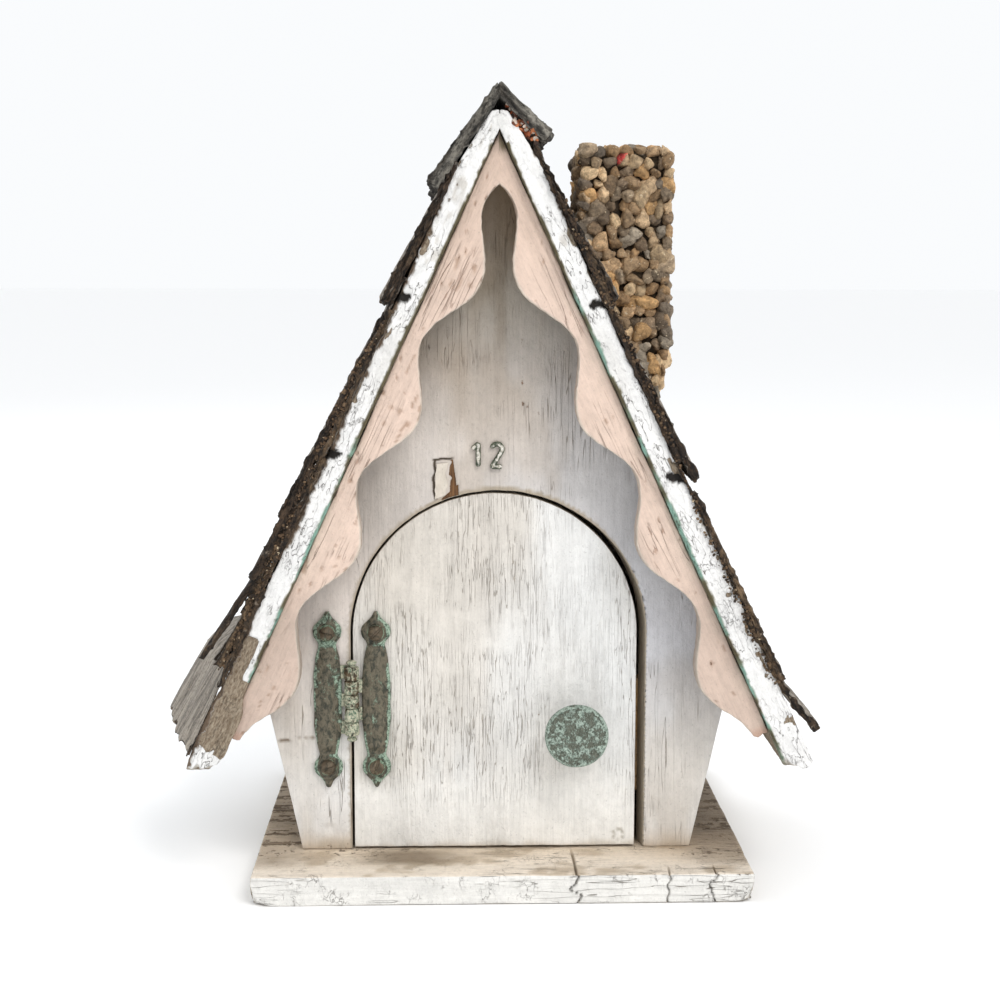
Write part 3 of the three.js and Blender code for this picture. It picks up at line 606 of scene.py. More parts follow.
chip_edge = FLAKE_RIGHT - 0.13 * (z - FLAKE_FOOT)
chip *= ease(x, chip_edge + 1, chip_edge + 0.2)
low_head = FLAKE_FOOT + 8 + (x - FLAKE_RIGHT) * 0.9
low_chip = front * ease(z, low_head + 1, low_head) * ease(z, FLAKE_FOOT + 0.5, FLAKE_FOOT + 1.5)
low_chip *= ease(x, FLAKE_LEFT + 3, FLAKE_LEFT + 6) * ease(x, FLAKE_RIGHT + 1, FLAKE_RIGHT)
chip = np.maximum(chip, low_chip)
# A real groove runs along the flake's lifted left edge and top; its near-black brown below is painted shade
# in the gap.
shaded_groove = front * in_height * ease(np.abs(x - edge_left), 0.9, 0.3)
over_head = z - FLAKE_HEAD + 1.4 + 0.7 * wander(points * 0.35, 15)
shaded_head_groove = front * ease(np.abs(over_head), 0.8, 0.3)
shaded_head_groove *= ease(x, FLAKE_LEFT, FLAKE_LEFT + 1.5) * ease(x, FLAKE_RIGHT - 1, FLAKE_RIGHT - 4)
shaded_groove = np.maximum(shaded_groove, shaded_head_groove)
relief -= 0.7 * chip + 0.9 * shaded_groove
points += out * relief[:, None]
jamb = ease(np.hypot(x, np.maximum(z - SPRING_Z, 0)), DOORWAY_RADIUS + 1.4, DOORWAY_RADIUS + 0.6)
bevel = jamb * ease(x, 30, 70) * (wall_high.y - y) / 12
points[:, 0] += 2.4 * bevel - 1.0 * jamb * ease(x, 30, 70)
damp = ease(z + 3 * wander(points * (0.15, 0.1, 0.1), 17), 22, 15)
tints = wall_colours(points, 1)
# The near-black brown in the flake's groove is painted shade.
tints = blend_tints(
    [damp * 0.4, jamb, shaded_groove, split], tints, (158, 138, 110), (172, 160, 142), (70, 58, 44), (124, 108, 90)
)
bare = 0.2 + 0.16 * damp + 0.06 * ease(z, 200, 260) + 0.6 * chip - 0.2 * shaded_groove
brown_timber = tone(128, 92, 58)
paint_on_front = aged_paint(
    "paint_on_front_wall", ALONG_Z, brown_timber, tone(70, 46, 28), tone(128, 114, 96), 300, 0.009, 0.5
)
piece = make_piece("front_wall_worn", points, faces, paint_on_front, tints, {"bare": bare})
fasten(piece, "house", "white_paint", "front_wall")

back_low, back_high = box_mm("back_wall")
points, faces = panel([gable, entry], back_low.y, back_high.y, 2.6, 0.7)
out = facing(points, faces)
x, y, z = points.T
relief = 0.18 * wander(points * (0.2, 0.2, 0.02), 18) + 0.08 * wander(points * (0.6, 0.5, 0.05), 19)
points += out * relief[:, None]
damp = ease(z + 5 * wander(points * (0.1, 0.1, 0.1), 20), 36, 17)
below_hole = ease(np.abs(x + 3 * wander(points * (0, 0, 0.1), 21)), 11, 2)
below_hole *= ease(z, 232, 215) * ease(z, 120, 205)
tints = wall_colours(points, -1)
tints = blend_tints([damp * 0.6, below_hole * 0.35], tints, (138, 118, 92), (120, 106, 84))
hole_rim = ease(np.hypot(x, z - ENTRY_Z), ENTRY_RADIUS + 2.2, ENTRY_RADIUS)
bare = 0.24 + 0.2 * damp + 0.35 * hole_rim
piece = make_piece("back_wall_worn", points, faces, paint_along_z, tints, {"bare": bare})
fasten(piece, "house", "white_paint", "back_wall")


# ---------------------------------------------------------------------------------------------
# Door stop. A short batten of bare pine, glued inside the front wall behind the free edge of the
# door, so that the door closes flush.
def split_wood(name, grain, dark, middle, light, weathered, depth=0.0006, crumbly=0.0):
    """Bare wood. The layer named grey gives how far sun and rain have bleached it."""
    mix = Finish(name)
    along = mix.stretch(grain)
    fibre = mix.noise(along, 620, 6, 0.75, 0.3)
    band = mix.noise(along, 120, 4, 0.6, 0.5)
    blotch = mix.noise(mix.place, 45, 4, 0.6)
    mote = mix.noise(mix.place, 620, 3, 0.6)
    colour = mix.mix(mix.span(fibre, 0.32, 0.66), dark, middle)
    colour = mix.mix(mix.times(mix.span(band, 0.45, 0.72), 0.75), colour, light)
    bleached = mix.mix(mix.span(fibre, 0.3, 0.6), mix.mix(0.5, dark, weathered), weathered)
    grey = mix.plus(mix.layer("grey"), mix.times(mix.less(blotch, 0.5), 0.9))
    colour = mix.mix(mix.span(grey, 0.3, 0.7), colour, bleached)
    colour = mix.shade(colour, mix.span(mote, 0.34, 0.5, 0.62, 1.0))
    height = mix.plus(mix.times(fibre, 0.7), mix.times(band, 0.5))
    if crumbly:
        crumb = mix.noise(mix.bent(mix.stretch((1, 1, 0.5)), 300, 0.003), 330, 6, 0.75)
        sunny = mix.span(mix.layer("grey"), 0.35, 0.55)
        deep = mix.span(crumb, 0.38, 0.6, 1 - 0.75 * crumbly, 1 + 0.5 * crumbly)
        grain_lines = mix.span(mix.noise(mix.stretch((1, 1, 0.02)), 420, 5, 0.7), 0.36, 0.6, 0.55, 1.15)
        spread = mix.node("Mix", {0: sunny, 2: deep, 3: grain_lines}, data_type="FLOAT").outputs[0]
        colour = mix.shade(colour, spread)
        pale = mix.mix(0.5, light, weathered)
        flecks = mix.span(mix.noise(mix.place, 210, 5, 0.75), 0.62, 0.68, 0.0, 0.8 * crumbly)
        colour = mix.mix(flecks, colour, pale)
        colour = mix.shade(colour, mix.span(mix.layer("age"), 0.0, 1.0, 0.74, 1.2))
        height = mix.plus(height, mix.times(crumb, 1.4 * crumbly))
    return mix.done(colour, mix.span(fibre, 0.2, 0.8, 0.92, 0.72), height, depth)


pine = split_wood(
    "bare_pine", ALONG_Z, tone(150, 112, 70), tone(190, 150, 102), tone(206, 172, 124),
    tone(176, 160, 138), 0.0003
)
points, faces = plank(*box_mm("door_stop"), (1.5, 1.5, 1.8), 0.7)
points += facing(points, faces) * (0.12 * wander(points * (0.6, 0.6, 0.04), 22))[:, None]
piece = make_piece("door_stop_batten", points, faces, pine, None, {"grey": 0.3})
fasten(piece, "house", "bare_pine", "door_stop")


# ---------------------------------------------------------------------------------------------
# Roof boards. Two planks that meet at the ridge and overhang the walls. The sides are bare, and the
# edges at front and back carry a thick skin of white paint that cracks, peels and breaks away.
ROOF_ANGLE = math.radians(24.7)
SINE, COSINE = math.sin(ROOF_ANGLE), math.cos(ROOF_ANGLE)
roof_low, roof_high = box_mm("roof_board_right")
RIDGE_Z = roof_high.z - 9
ROOF_THICK = 11
SLOPE = (RIDGE_Z - roof_low.z) / COSINE
CREST_CHAMFER = 20


def slope_place(sign):
    """Where a piece on one slope goes: its x, times sign, points out of the roof, its z up the slope."""
    return Matrix.Translation((0, 0, RIDGE_Z * MM)) @ Matrix.Rotation(-sign * ROOF_ANGLE, 4, "Y")


def down_slope(points, sign):
    """Height over the underside of the roof boards, depth, and distance down from the ridge."""
    return sign * points[:, 0], points[:, 1], -points[:, 2]


peeling_paint = aged_paint(
    "peeling_edge_paint", (1.0, 1.0, 0.3), tone(172, 158, 138), tone(110, 92, 72), tone(84, 72, 58),
    300, 0.012, 0.46, 0.09, 0.0022,
)
for side, sign in (("left", -1), ("right", 1)):
    points, faces = board(
        stations(0, ROOF_THICK, 0.95),
        np.concatenate(
            [stations(-108, -96, 1.0)[:-3], np.linspace(-96, 96, 62), stations(96, 108, 1.0)[3:]]
        ),
        stations(-SLOPE - 5, 0, 1.05),
        0.9,
    )
    h, y, s = down_slope(points, 1)
    out = facing(points, faces)
    front = ease(-y, 101, 106)
    edge = ease(np.abs(y), 101, 106)
    # The crest is planed flat and the eave is sawn square, with a ragged end.
    crest_x = np.interp(h, (0, 8, ROOF_THICK), (0.2, 0.2, 3.5))
    crest_z = np.interp(h, (0, 8, ROOF_THICK), (0.0, 8.8, 9.0))
    crest_s, crest_h = crest_x * SINE - crest_z * COSINE, crest_x * COSINE + crest_z * SINE
    tooth = at(h * 0.3, 0, sign * 3.3)
    point = 7.0 * ease(np.abs(h - 8.5), 8, 0) - 7.5 if sign > 0 else -3.5
    ragged = point + 2.6 * wander(tooth, 23) + 1.6 * wander(tooth * 3, 22)
    end = SLOPE + h * math.tan(ROOF_ANGLE) + front * ragged
    part = np.clip(s / CREST_CHAMFER, 0, 1)
    h = crest_h * (1 - part) + h * part
    beyond = CREST_CHAMFER + (s - CREST_CHAMFER) * (end - CREST_CHAMFER) / (SLOPE + 5 - CREST_CHAMFER)
    s = np.where(s < CREST_CHAMFER, crest_s * (1 - part) + CREST_CHAMFER * part, beyond)
    swell = front * ease(s, 60, 330) * (0 if sign < 0 else 1)
    belly = front * ease(s, 296, 312) * ease(s, 345, 330) * (1 if sign < 0 else 0)
    lift = np.where(h > 5.5, 2.6 * swell * ease(h, 5.5, 11) + 1.2 * belly, -4.0 * belly * ease(h, 5, 0))
    h = h + lift
    # The paint skin: broken notches, nail holes painted near-black as shade inside them, and a bare end.
    along = at(h * 0.22, 0, s * 0.09)
    chips = wander(along, 24 + sign) + 0.6 * wander(along * 2.7, 26 + sign)
    if sign < 0:
        tongue = 2.6 + (s - 268) * 0.02
        lost = ease(s, 268, 274) * ease(h, tongue, tongue + 1.6) + ease(s, 290, 294)
        lost *= 1 - ease(s, 329 + 4 * chips, 332 + 4 * chips)
        clefts = ((90, 2.2), (172, 2.4))
        rough_rim = 9.6 + 2.4 * ease(np.abs(s - 247), 22, 8) + 3.0 * ease(s, 60, 30)
    else:
        lost = 0.7 * ease(chips, 0.45, 0.7) * ease(s, 290, 310) * ease(s, 330, 318)
        clefts = ((94, 2.0), (186, 2.6))
        rough_rim = 11.4 + 1.6 * ease(s, 60, 200) + 6 * ease(s, 296, 312)
    shaded_hole = np.zeros(len(s))
    for cleft_s, opening in clefts:
        path = cleft_s + 0.45 * (h - 9) + 1.3 * wander(at(h * 0.5, 0, cleft_s), 17)
        wide = opening * ease(h + 1.5 * chips, 4, 7)
        shaded_hole = np.maximum(shaded_hole, ease(np.abs(s - path), wide + 0.4, wide - 0.4) * (wide > 0.3) * front)
    torn_rim = wander(at(s * 0.2, h * 0.12), 12) + 0.7 * wander(at(s * 0.6, h * 0.3), 13)
    rind = ease(h - rough_rim - 1.5 * torn_rim, -0.4, 0.5) * front
    lost = lost + rind
    notch = ease(chips + 0.1 * (h - 9), 0.5, 0.75) * ease(h, 6, 9) * ease(s, 306, 296) * front
    lost = np.clip(lost + notch * 0.8, 0, 1) * front
    skin = 0.75 * front * (1 - lost)
    wrinkle = 0.34 * wander(at(h * 0.5, y * 0.3, s * 0.2), 28)
    wrinkle += 0.26 * wander(at(h * 0.9, y * 0.3, s * 0.55), 29)
    depth_in = 1.6 * shaded_hole + 0.5 * ease(np.abs(h - 0.3), 0.9, 0.3) * front
    points = at(h, y - front * (skin - depth_in), -s)
    fibre = 0.25 * wander(at(h * 0.3, y * 0.4, s * 0.03), 30)
    points += out * (wrinkle * (0.35 + 0.65 * edge) + fibre)[:, None]
    points[:, 0] *= sign
    shade = ease(wander(at(h * 0.1, y * 0.1, s * 0.02), 31), 0, 0.9)
    ripple = 0.8 * chips + 0.5 * wander(at(s * 0.5), 25)
    arris = front * ease(h, 1.5 + ripple, 0.8 + ripple) * (1 - ease(s, 292, 296) * (sign < 0))
    teal = ease(s + 26 * wander(at(s * 0.05), 21), *((150, 190) if sign < 0 else (75, 100)))
    teal *= ease(wander(at(s * 0.12), 20), -0.4, 0.3)
    specks = front * ease(chips, 0.3, 0.8) * ease(s, 110, 60)
    # The near-black last colour is painted shade in the nail holes, on top of their shallow depth.
    tints = blend_tints(
        [edge, edge * shade * 0.25, specks * 0.3, arris, arris * teal, rind * 0.9, shaded_hole],
        (178, 166, 148), (252, 251, 249), (212, 208, 200), (150, 138, 120), (92, 84, 56),
        (136, 178, 162), (96, 76, 56),
        (26, 20, 14),
    )
    flaked = ease(wander(points * 0.5, 32), 0.1, 0.7)
    bare = 0.62 * (1 - edge) + 0.14 * edge + (lost - rind) * 0.85
    bare += 0.14 * rind - 0.3 * shaded_hole - 0.2 * arris + 0.12 * flaked * edge
    frayed = ease(np.abs(s - 232), 38, 24) if sign > 0 else ease(s, 128, 60) * ease(h, 3, 7)
    bare += 0.2 * frayed * front * ease(h, 0, 3) * ease(wander(points * 0.2, 38), -0.6, 0.3)
    piece = make_piece(
        f"roof_board_{side}_worn", points, faces, peeling_paint, tints, {"bare": bare}, slope_place(sign)
    )
    fasten(piece, "house", "roof_board_wood", "roof_board_" + side)


# The crest joint is bridged by a thick daub of the same paint.
DAUB = [(0, 0.4), (3.2, -6.4), (5.0, -5.5), (3.7, 5.5), (0.3, 7.4), (-3.5, 5.7), (-5.0, -5.5), (-3.2, -6.4)]
daub = [(daub_x, RIDGE_Z + rise) for daub_x, rise in DAUB]
points, faces = panel([daub], -109.1, -107.6, 0.8, 0.6)
points += 0.25 * wander(points * 0.5, 5)[:, None] * np.array([1, 0.8, 0])
tints = np.array((238, 237, 234)) - 14 * ease(wander(points * 0.35, 6), 0, 0.8)[:, None]
piece = make_piece("crest_daub", points, faces, peeling_paint, tints, {"bare": 0.12})
fasten(piece, "house", "white_paint")


# ---------------------------------------------------------------------------------------------
# Gable trim. Two thin boards under the front ends of the roof boards, their lower edges sawn to a
# wave with a coping saw, and painted pink. They meet in a mitre under the ridge.
TRIM_WIDTH = 14.8
WAVE_START, WAVE_LENGTH, WAVE_DEPTH = 33, 72.5, 7.3


def trim_width(s):
    """How wide a trim board is at a distance down from the ridge."""
    return TRIM_WIDTH - WAVE_DEPTH * np.cos(2 * math.pi * (s - WAVE_START) / WAVE_LENGTH)


pink = aged_paint(
    "pink_trim_paint", ALONG_Z, tone(150, 116, 92), tone(96, 70, 52), tone(164, 126, 104), 240, 0.011,
    0.5, 0.0, 0.0012
)
TRIM_END = 322.3
HALVINGS = 24
for side, sign in (("left", -1), ("right", 1)):
    low, high = box_mm("gable_trim_" + side)
    points, faces = board(
        stations(0, TRIM_WIDTH, 1.0, 0.4), stations(low.y, high.y, 1.4), stations(-TRIM_END, 0, 0.95), 0.9
    )
    out = facing(points, faces)
    part, y, s = points[:, 0] / TRIM_WIDTH, points[:, 1], -points[:, 2]
    # Halving steps find where each line down the board starts at the mitre.
    near, far = np.zeros(len(s)), np.full(len(s), float(WAVE_START))
    for _ in range(HALVINGS):
        middle = (near + far) / 2
        over = middle * SINE > -0.4 + (0.3 + trim_width(middle) * part) * COSINE
        near, far = np.where(over, near, middle), np.where(over, middle, far)
    broken = 1.2 * wander(at(part * 5, y * 0.2, sign), 33)
    s = near + s / TRIM_END * (TRIM_END - near + broken)
    wobble = 0.35 * wander(at(s * 0.06), 34 + sign)
    width = trim_width(s) + wobble + 0.15 * wander(at(s * 0.4), 36)
    h = -0.3 - width * part
    face = at(h, y, s)
    relief = 0.3 * wander(face * (0.35, 0.2, 0.05), 37 + sign) + 0.2 * wander(face * (1.0, 0.3, 0.14), 39)
    pits = ease(wander(face * (0.55, 0.3, 0.22), 40 + sign), 0.62, 0.8) * ease(-y, 102, 103.5)
    points = at(sign * h, y, -s)
    outward = out * np.array([-sign, 1, 1])
    points += outward * (relief - 0.5 * pits)[:, None]
    front = ease(-out[:, 1], 0.5, 0.9)
    rim = ease(part, 0.93, 0.99) * ease(y, -96, -103)
    grime = ease(wander(face * (0.05, 0.1, 0.015), 42), 0, 0.8)
    upper = ease(s, 90, 20)
    tints = blend_tints(
        [front, grime * 0.5, upper * 0.6, rim * 0.7, pits * 0.5, ease(s, 316, 321) * 0.5],
        (196, 178, 164), (222, 198, 182), (204, 181, 165), (206, 182, 165), (216, 206, 192),
        (150, 118, 96), (186, 142, 120),
    )
    tints *= 1 - 0.07 * ease(s, 225, 262)[:, None]
    olive = 0.7 * ease(s + 3 * wander(face * 0.4, 19), 9, 5) * (sign > 0) * front
    tints = blend_tints([olive], tints, (92, 82, 56))
    bare = 0.16 + 0.22 * pits + 0.1 * ease(s, 314, 322)
    piece = make_piece(
        f"gable_trim_{side}_worn", points, faces, pink, tints, {"bare": bare}, slope_place(sign)
    )
    fasten(piece, "house", "pink_paint", "gable_trim_" + side)


# ---------------------------------------------------------------------------------------------
# Chimney. A block of wood on the right-hand slope, smeared with dark mortar, with small stones
# pressed in side by side all round it and over its top. Its outer lower edge is cut back.
mortar = Finish("rough_mortar")
mortar_grit = mortar.noise(mortar.place, 420, 6, 0.7)
mortar_colour = mortar.mix(mortar.span(mortar_grit, 0.3, 0.7), tone(34, 27, 20), tone(84, 69, 51))
mortar_skin = mortar.done(mortar_colour, 0.95, mortar_grit, 0.001)
stone_low, stone_high = box_mm("pebble_skin")
core_low, core_high = box_mm("chimney_core")
HEEL_Z, HEEL_INSET = 272, 11.5


def shake_top(x):
    """Height of the shakes' tops under the chimney."""
    return RIDGE_Z - x / math.tan(ROOF_ANGLE) + 16 / SINE


def heel(z):
    """How far the chimney's outer side is cut back at this height."""
    return HEEL_INSET * np.clip((HEEL_Z - z) / (HEEL_Z - stone_low.z), 0, 1)


points, faces = board(
    stations(core_low.x - 0.6, core_high.x + 1, 2),
    stations(core_low.y - 0.9, core_high.y + 1, 2),
    stations(0, 1, 0.014, 0.004),
    0.0,
)
x, y, part = points.T
foot_z = shake_top(x) - 6
z = foot_z + (core_high.z + 1 - foot_z) * part
x = np.minimum(x, core_high.x + 1 - heel(z))
points = at(x, y, z)
relief = 0.9 * wander(points * 0.35, 43) + 0.5 * wander(points * 0.9, 44)
points += facing(points, faces) * relief[:, None]
piece = make_piece("chimney_mortar", points, faces, mortar_skin)
fasten(piece, "house", "mortar", "chimney_core")

stone = Finish("chimney_stones")
stone_grit = stone.noise(stone.place, 560, 6, 0.75)
stone_blotch = stone.noise(stone.place, 260, 4, 0.6)
stone_colour = stone.shade(stone.layer("tint", True), stone.span(stone_blotch, 0.3, 0.7, 0.72, 1.25))
stone_colour = stone.shade(stone_colour, stone.span(stone_grit, 0.34, 0.62, 0.6, 1.2))
stone_specks = stone.span(stone.noise(stone.place, 500, 2), 0.66, 0.72)
stone_colour = stone.mix(stone_specks, stone_colour, tone(206, 188, 158))
stone_height = stone.plus(stone.times(stone_grit, 0.6), stone_blotch)
stone_skin = stone.done(stone_colour, 0.85, stone_height, 0.0013)
STONE_TONES = [
    (150, 124, 94), (138, 115, 88), (118, 101, 82), (172, 148, 116), (124, 114, 100), (104, 87, 68),
    (164, 140, 110), (146, 117, 84), (176, 140, 96), (110, 98, 84), (134, 117, 96), (128, 104, 76),
]


def round_ball(subdivisions):
    """The points and faces of a ball of radius 1."""
    ball = bmesh.new()
    bmesh.ops.create_icosphere(ball, subdivisions=subdivisions, radius=1)
    ball_points = np.array([v.co for v in ball.verts])
    ball_faces = np.array([[v.index for v in face.verts] for face in ball.faces])
    ball.free()
    return ball_points, ball_faces


ball_points, ball_faces = round_ball(3)
crumb_points, crumb_faces = round_ball(2)
FACETS, FACET_CRISPNESS = 9, 30
dice = np.random.default_rng(2)


def pebble(centre, normal, size, ball_points=ball_points):
    """One water-worn stone: a ball flattened by soft facets, lying flat on the wall."""
    planes = dice.normal(size=(FACETS, 3))
    planes /= np.linalg.norm(planes, axis=1, keepdims=True)
    reach = dice.uniform(0.6, 1.0, FACETS)
    out = np.maximum(ball_points[:, None, :] @ (planes / reach[:, None]).T, 0)[:, 0] ** FACET_CRISPNESS
    radius = np.minimum(1.3, (out.sum(1) + 1e-9) ** (-1 / FACET_CRISPNESS))
    radius += 0.15 * wander(ball_points * 1.5 + centre[0], 3)
    radius += 0.08 * wander(ball_points * 4 + centre[0], 4)
    shape = ball_points * radius[:, None] * size * dice.uniform([0.8, 0.7, 0.8], [1.4, 1.0, 1.2])
    spin = Matrix.Rotation(dice.uniform(0, 6.28), 3, "Y")
    turn = np.array(spin @ Matrix.Rotation(dice.normal(0, 0.3), 3, "X"))
    flat = np.array(Vector((0, -1, 0)).rotation_difference(Vector(normal)).to_matrix())
    return centre + shape @ turn.T @ flat.T


def heap(name, stones, hues, faces, place=None):
    """Stones or crumbs as one piece, each with a hue of its own."""
    tints = np.concatenate([np.broadcast_to(hue, stones[0].shape) for hue in hues])
    faces = np.concatenate([faces + k * len(stones[0]) for k in range(len(stones))])
    return make_piece(name, np.concatenate(stones), faces, stone_skin, tints, None, place)


half = (stone_high - stone_low) / 2
middle = (stone_high + stone_low) / 2
STONE_PITCH = 7.3
STONE_SQUEEZE = 0.943
STONE_PROUD = 0.8
faces_of_chimney = {
    "front": ((0, -1, 0), (1, 0, 0), half.x, half.y),
    "back": ((0, 1, 0), (-1, 0, 0), half.x, half.y),
    "outer": ((1, 0, 0), (0, 1, 0), half.y, half.x),
    "inner": ((-1, 0, 0), (0, -1, 0), half.y, half.x),
    "top": ((0, 0, 1), (1, 0, 0), half.x, half.y),
}
for face_name, (normal, across, width, away) in faces_of_chimney.items():
    normal, across = np.array(normal, float), np.array(across, float)
    spots = []
    if face_name == "top":
        for row, gy in enumerate(np.arange(-half.y + 5.5, half.y - 4, STONE_PITCH * 0.88)):
            for gx in np.arange(-half.x + 5.5 + (row % 2) * 3, half.x - 4, STONE_PITCH):
                spots.append((middle.x + gx, middle.y + gy, stone_high.z - 3.6))
    else:
        for row, gz in enumerate(np.arange(stone_low.z + 2, stone_high.z - 3, STONE_PITCH * 0.84)):
            for g in np.arange(-width + 3.6 + (row % 2) * 3.4, width - 2.5, STONE_PITCH):
                place = np.array(middle) + across * g + normal * (away - 3.7)
                spots.append((place[0], place[1], gz))
    cloud, hues = [], []
    for place in spots:
        place = np.array(place) + dice.uniform(-1.1, 1.1, 3)
        place[0] -= heel(place[2]) * ease(place[0], middle.x, stone_high.x - 4)
        size = dice.uniform(2.9, 4.9)
        if place[2] < shake_top(place[0]) - 2.5:
            continue
        cloud.append(pebble(place, normal, size))
        hues.append(np.array(STONE_TONES[dice.integers(len(STONE_TONES))]) * dice.uniform(0.9, 1.3))
    if face_name == "front":
        red = int(np.argmax([shape.mean(0)[2] - 0.3 * abs(shape.mean(0)[0] - middle.x) for shape in cloud]))
        hues[red] = np.where(ball_points[:, :1] > 0.2, (196, 70, 66), hues[red])
    for shape in cloud:
        shape[:, 0] = stone_high.x - (stone_high.x - shape[:, 0]) * STONE_SQUEEZE
    cloud = np.clip(cloud, np.array(stone_low) - STONE_PROUD, np.array(stone_high) + STONE_PROUD)
    piece = heap(f"chimney_stones_{face_name}", cloud, hues, ball_faces)
    fasten(piece, "house", "pebbles", "pebble_skin")


# ---------------------------------------------------------------------------------------------
# Shakes. Split, never sawn: each is a wedge of old wood, thin under the course above and thick at
# its butt, nailed to the roof board in courses. Their ends are dark and crumbly, their tops grey.
shake_wood = split_wood(
    "split_shake_wood", (1.0, 1.0, 0.08), tone(22, 16, 11), tone(76, 58, 41), tone(142, 118, 90),
    tone(172, 162, 149), 0.0020, 1.0
)
SHAKE_PITCH = 1.35
SHAKE_GRID = 6


def split_shake(name, seed, place, sign, ys, ends, under, over, ragged=2.4, grey=0.45, bend=None):
    """One shake between two depths ys and two distances down the slope. under and over give the
    height of its faces at the head and at the butt; bend moves h, y and s a last time."""
    head, butt = ends
    points, faces = board(
        stations(0, SHAKE_GRID, 0.8, 0.35),
        stations(ys[0], ys[1], SHAKE_PITCH),
        stations(-butt, -head, SHAKE_PITCH * 1.2),
        0.8,
    )
    out = facing(points, faces)
    part, y, s = points[:, 0] / SHAKE_GRID, points[:, 1], -points[:, 2]
    along = (s - head) / (butt - head)
    lines = at(y * 0.42, s * 0.022)
    ridges = 0.55 * wander(lines, seed) + 0.35 * wander(lines * 2.3, seed + 1)
    ridges += 0.2 * wander(lines * 5.1, seed + 2)
    leaves = at(part * 3.2, s * 0.045, y * 0.05)
    peel = 0.8 * wander(leaves, seed + 3) + 0.6 * wander(leaves * (2.1, 3.4, 1), seed + 4)
    tooth = at(y * 0.16, part * 0.7)
    torn = ragged * (wander(tooth, seed + 5) + 0.55 * wander(tooth * 3.1, seed + 6)) - 0.4 * ragged
    slant = 0.7 * ragged * wander(at(ys[0], 0, part), seed + 11)
    s = s + slant * (y - ys[0]) / (ys[1] - ys[0]) * ease(along, 0.6, 1)
    s = s + torn * ease(along, 0.55, 1)
    bottom = under[0] + (under[1] - under[0]) * along
    top = over[0] + (over[1] - over[0]) * along
    facing_out = ease(out[:, 0], 0.4, 0.9)
    ends_of_y = ease(np.abs(out[:, 1]), 0.4, 0.9)
    split_y = ys[0] + (ys[1] - ys[0]) * (0.3 + 0.4 * (seed * 0.37 % 1))
    split_y = split_y + 1.5 * wander(at(s * 0.05), seed + 7)
    crack = ease(np.abs(y - split_y), 1.1, 0.2) * ease(along, 0.35, 0.7)
    h = bottom + (top - bottom) * part + facing_out * (ridges * (0.5 + 0.5 * along) - 1.6 * crack)
    peel = peel - 0.2 - 0.4 * np.abs(wander(at(s * 0.3, part * 4), seed + 8))
    y = y + out[:, 1] * ends_of_y * peel
    h = h + 0.35 * wander(at(s * 0.12, y * 0.08, part), seed + 9)
    crumbling = ease(np.minimum(y - ys[0], ys[1] - y), 5, 0)
    h = h + crumbling * (1.1 * wander(at(s * 0.4, y * 0.3, part * 2), seed + 2) - 0.3 * facing_out)
    h = h + crumbling * 0.7 * wander(at(s * 1.1, y * 0.8, part * 3), seed + 3)
    y = y + crumbling * 0.8 * wander(at(s * 0.8, y * 0.5, part * 5), seed + 1)
    if bend is not None:
        h, y, s = bend(h, y, s)
    bleached = grey * ease(np.abs(out[:, 0]), 0.4, 0.9) + 0.12 * ease(part, 0.75, 1)
    bleached += 0.05 * wander(leaves * 3, seed + 10) - 0.25 * ease(along, 0.93, 1)
    age = np.full(len(s), 0.25 + 0.5 * (seed * 0.618 % 1))
    layers = {"grey": bleached + 0.1, "age": age}
    return make_piece(name, at(sign * h, y, -s), faces, shake_wood, None, layers, place)


def fitted(node):
    """How far down the slope a shake starts and ends."""
    low, high = box_mm(node)
    return (RIDGE_Z + 13.3 * SINE - high.z) / COSINE, (RIDGE_Z + 19.3 * SINE - low.z) / COSINE


def lifted_back(h, y, s):
    """The lowest front shake has come loose: its far side stands off the roof."""
    thin = 4.2 * ease(y, -88, -104) * ease(s, 270, 312) * ease(h, 13, 17.5)
    return h + 15 * ease(y, -108, -40) * ease(s, 262, 300) - 1.0 - thin, y, s


def curled_end(h, y, s):
    """The butt of a shake that has curled outwards."""
    return h + 4.5 * ease(s, 300, 328) ** 2, y, s


def low_front(h, y, s):
    """A shake worn thin along its front edge."""
    return h - 3.6 * ease(y, -85, -108) * ease(h, 12, 19), y, s


BENDS = {"shake_left_5_1": lifted_back, "shake_right_4_1": curled_end, "shake_right_3_1": low_front}
for number, node in enumerate(sorted(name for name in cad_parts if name.startswith("shake_"))):
    low, high = box_mm(node)
    sign = -1 if "left" in node else 1
    piece = split_shake(
        node + "_split", 50 + 12 * number, slope_place(sign), sign, (low.y, high.y), fitted(node),
        (11.4, 15.2), (13.2, 19.2), grey=0.85 if node == "shake_left_5_1" else 0.45, bend=BENDS.get(node),
    )
    fasten(piece, "house", "split_shake", node)

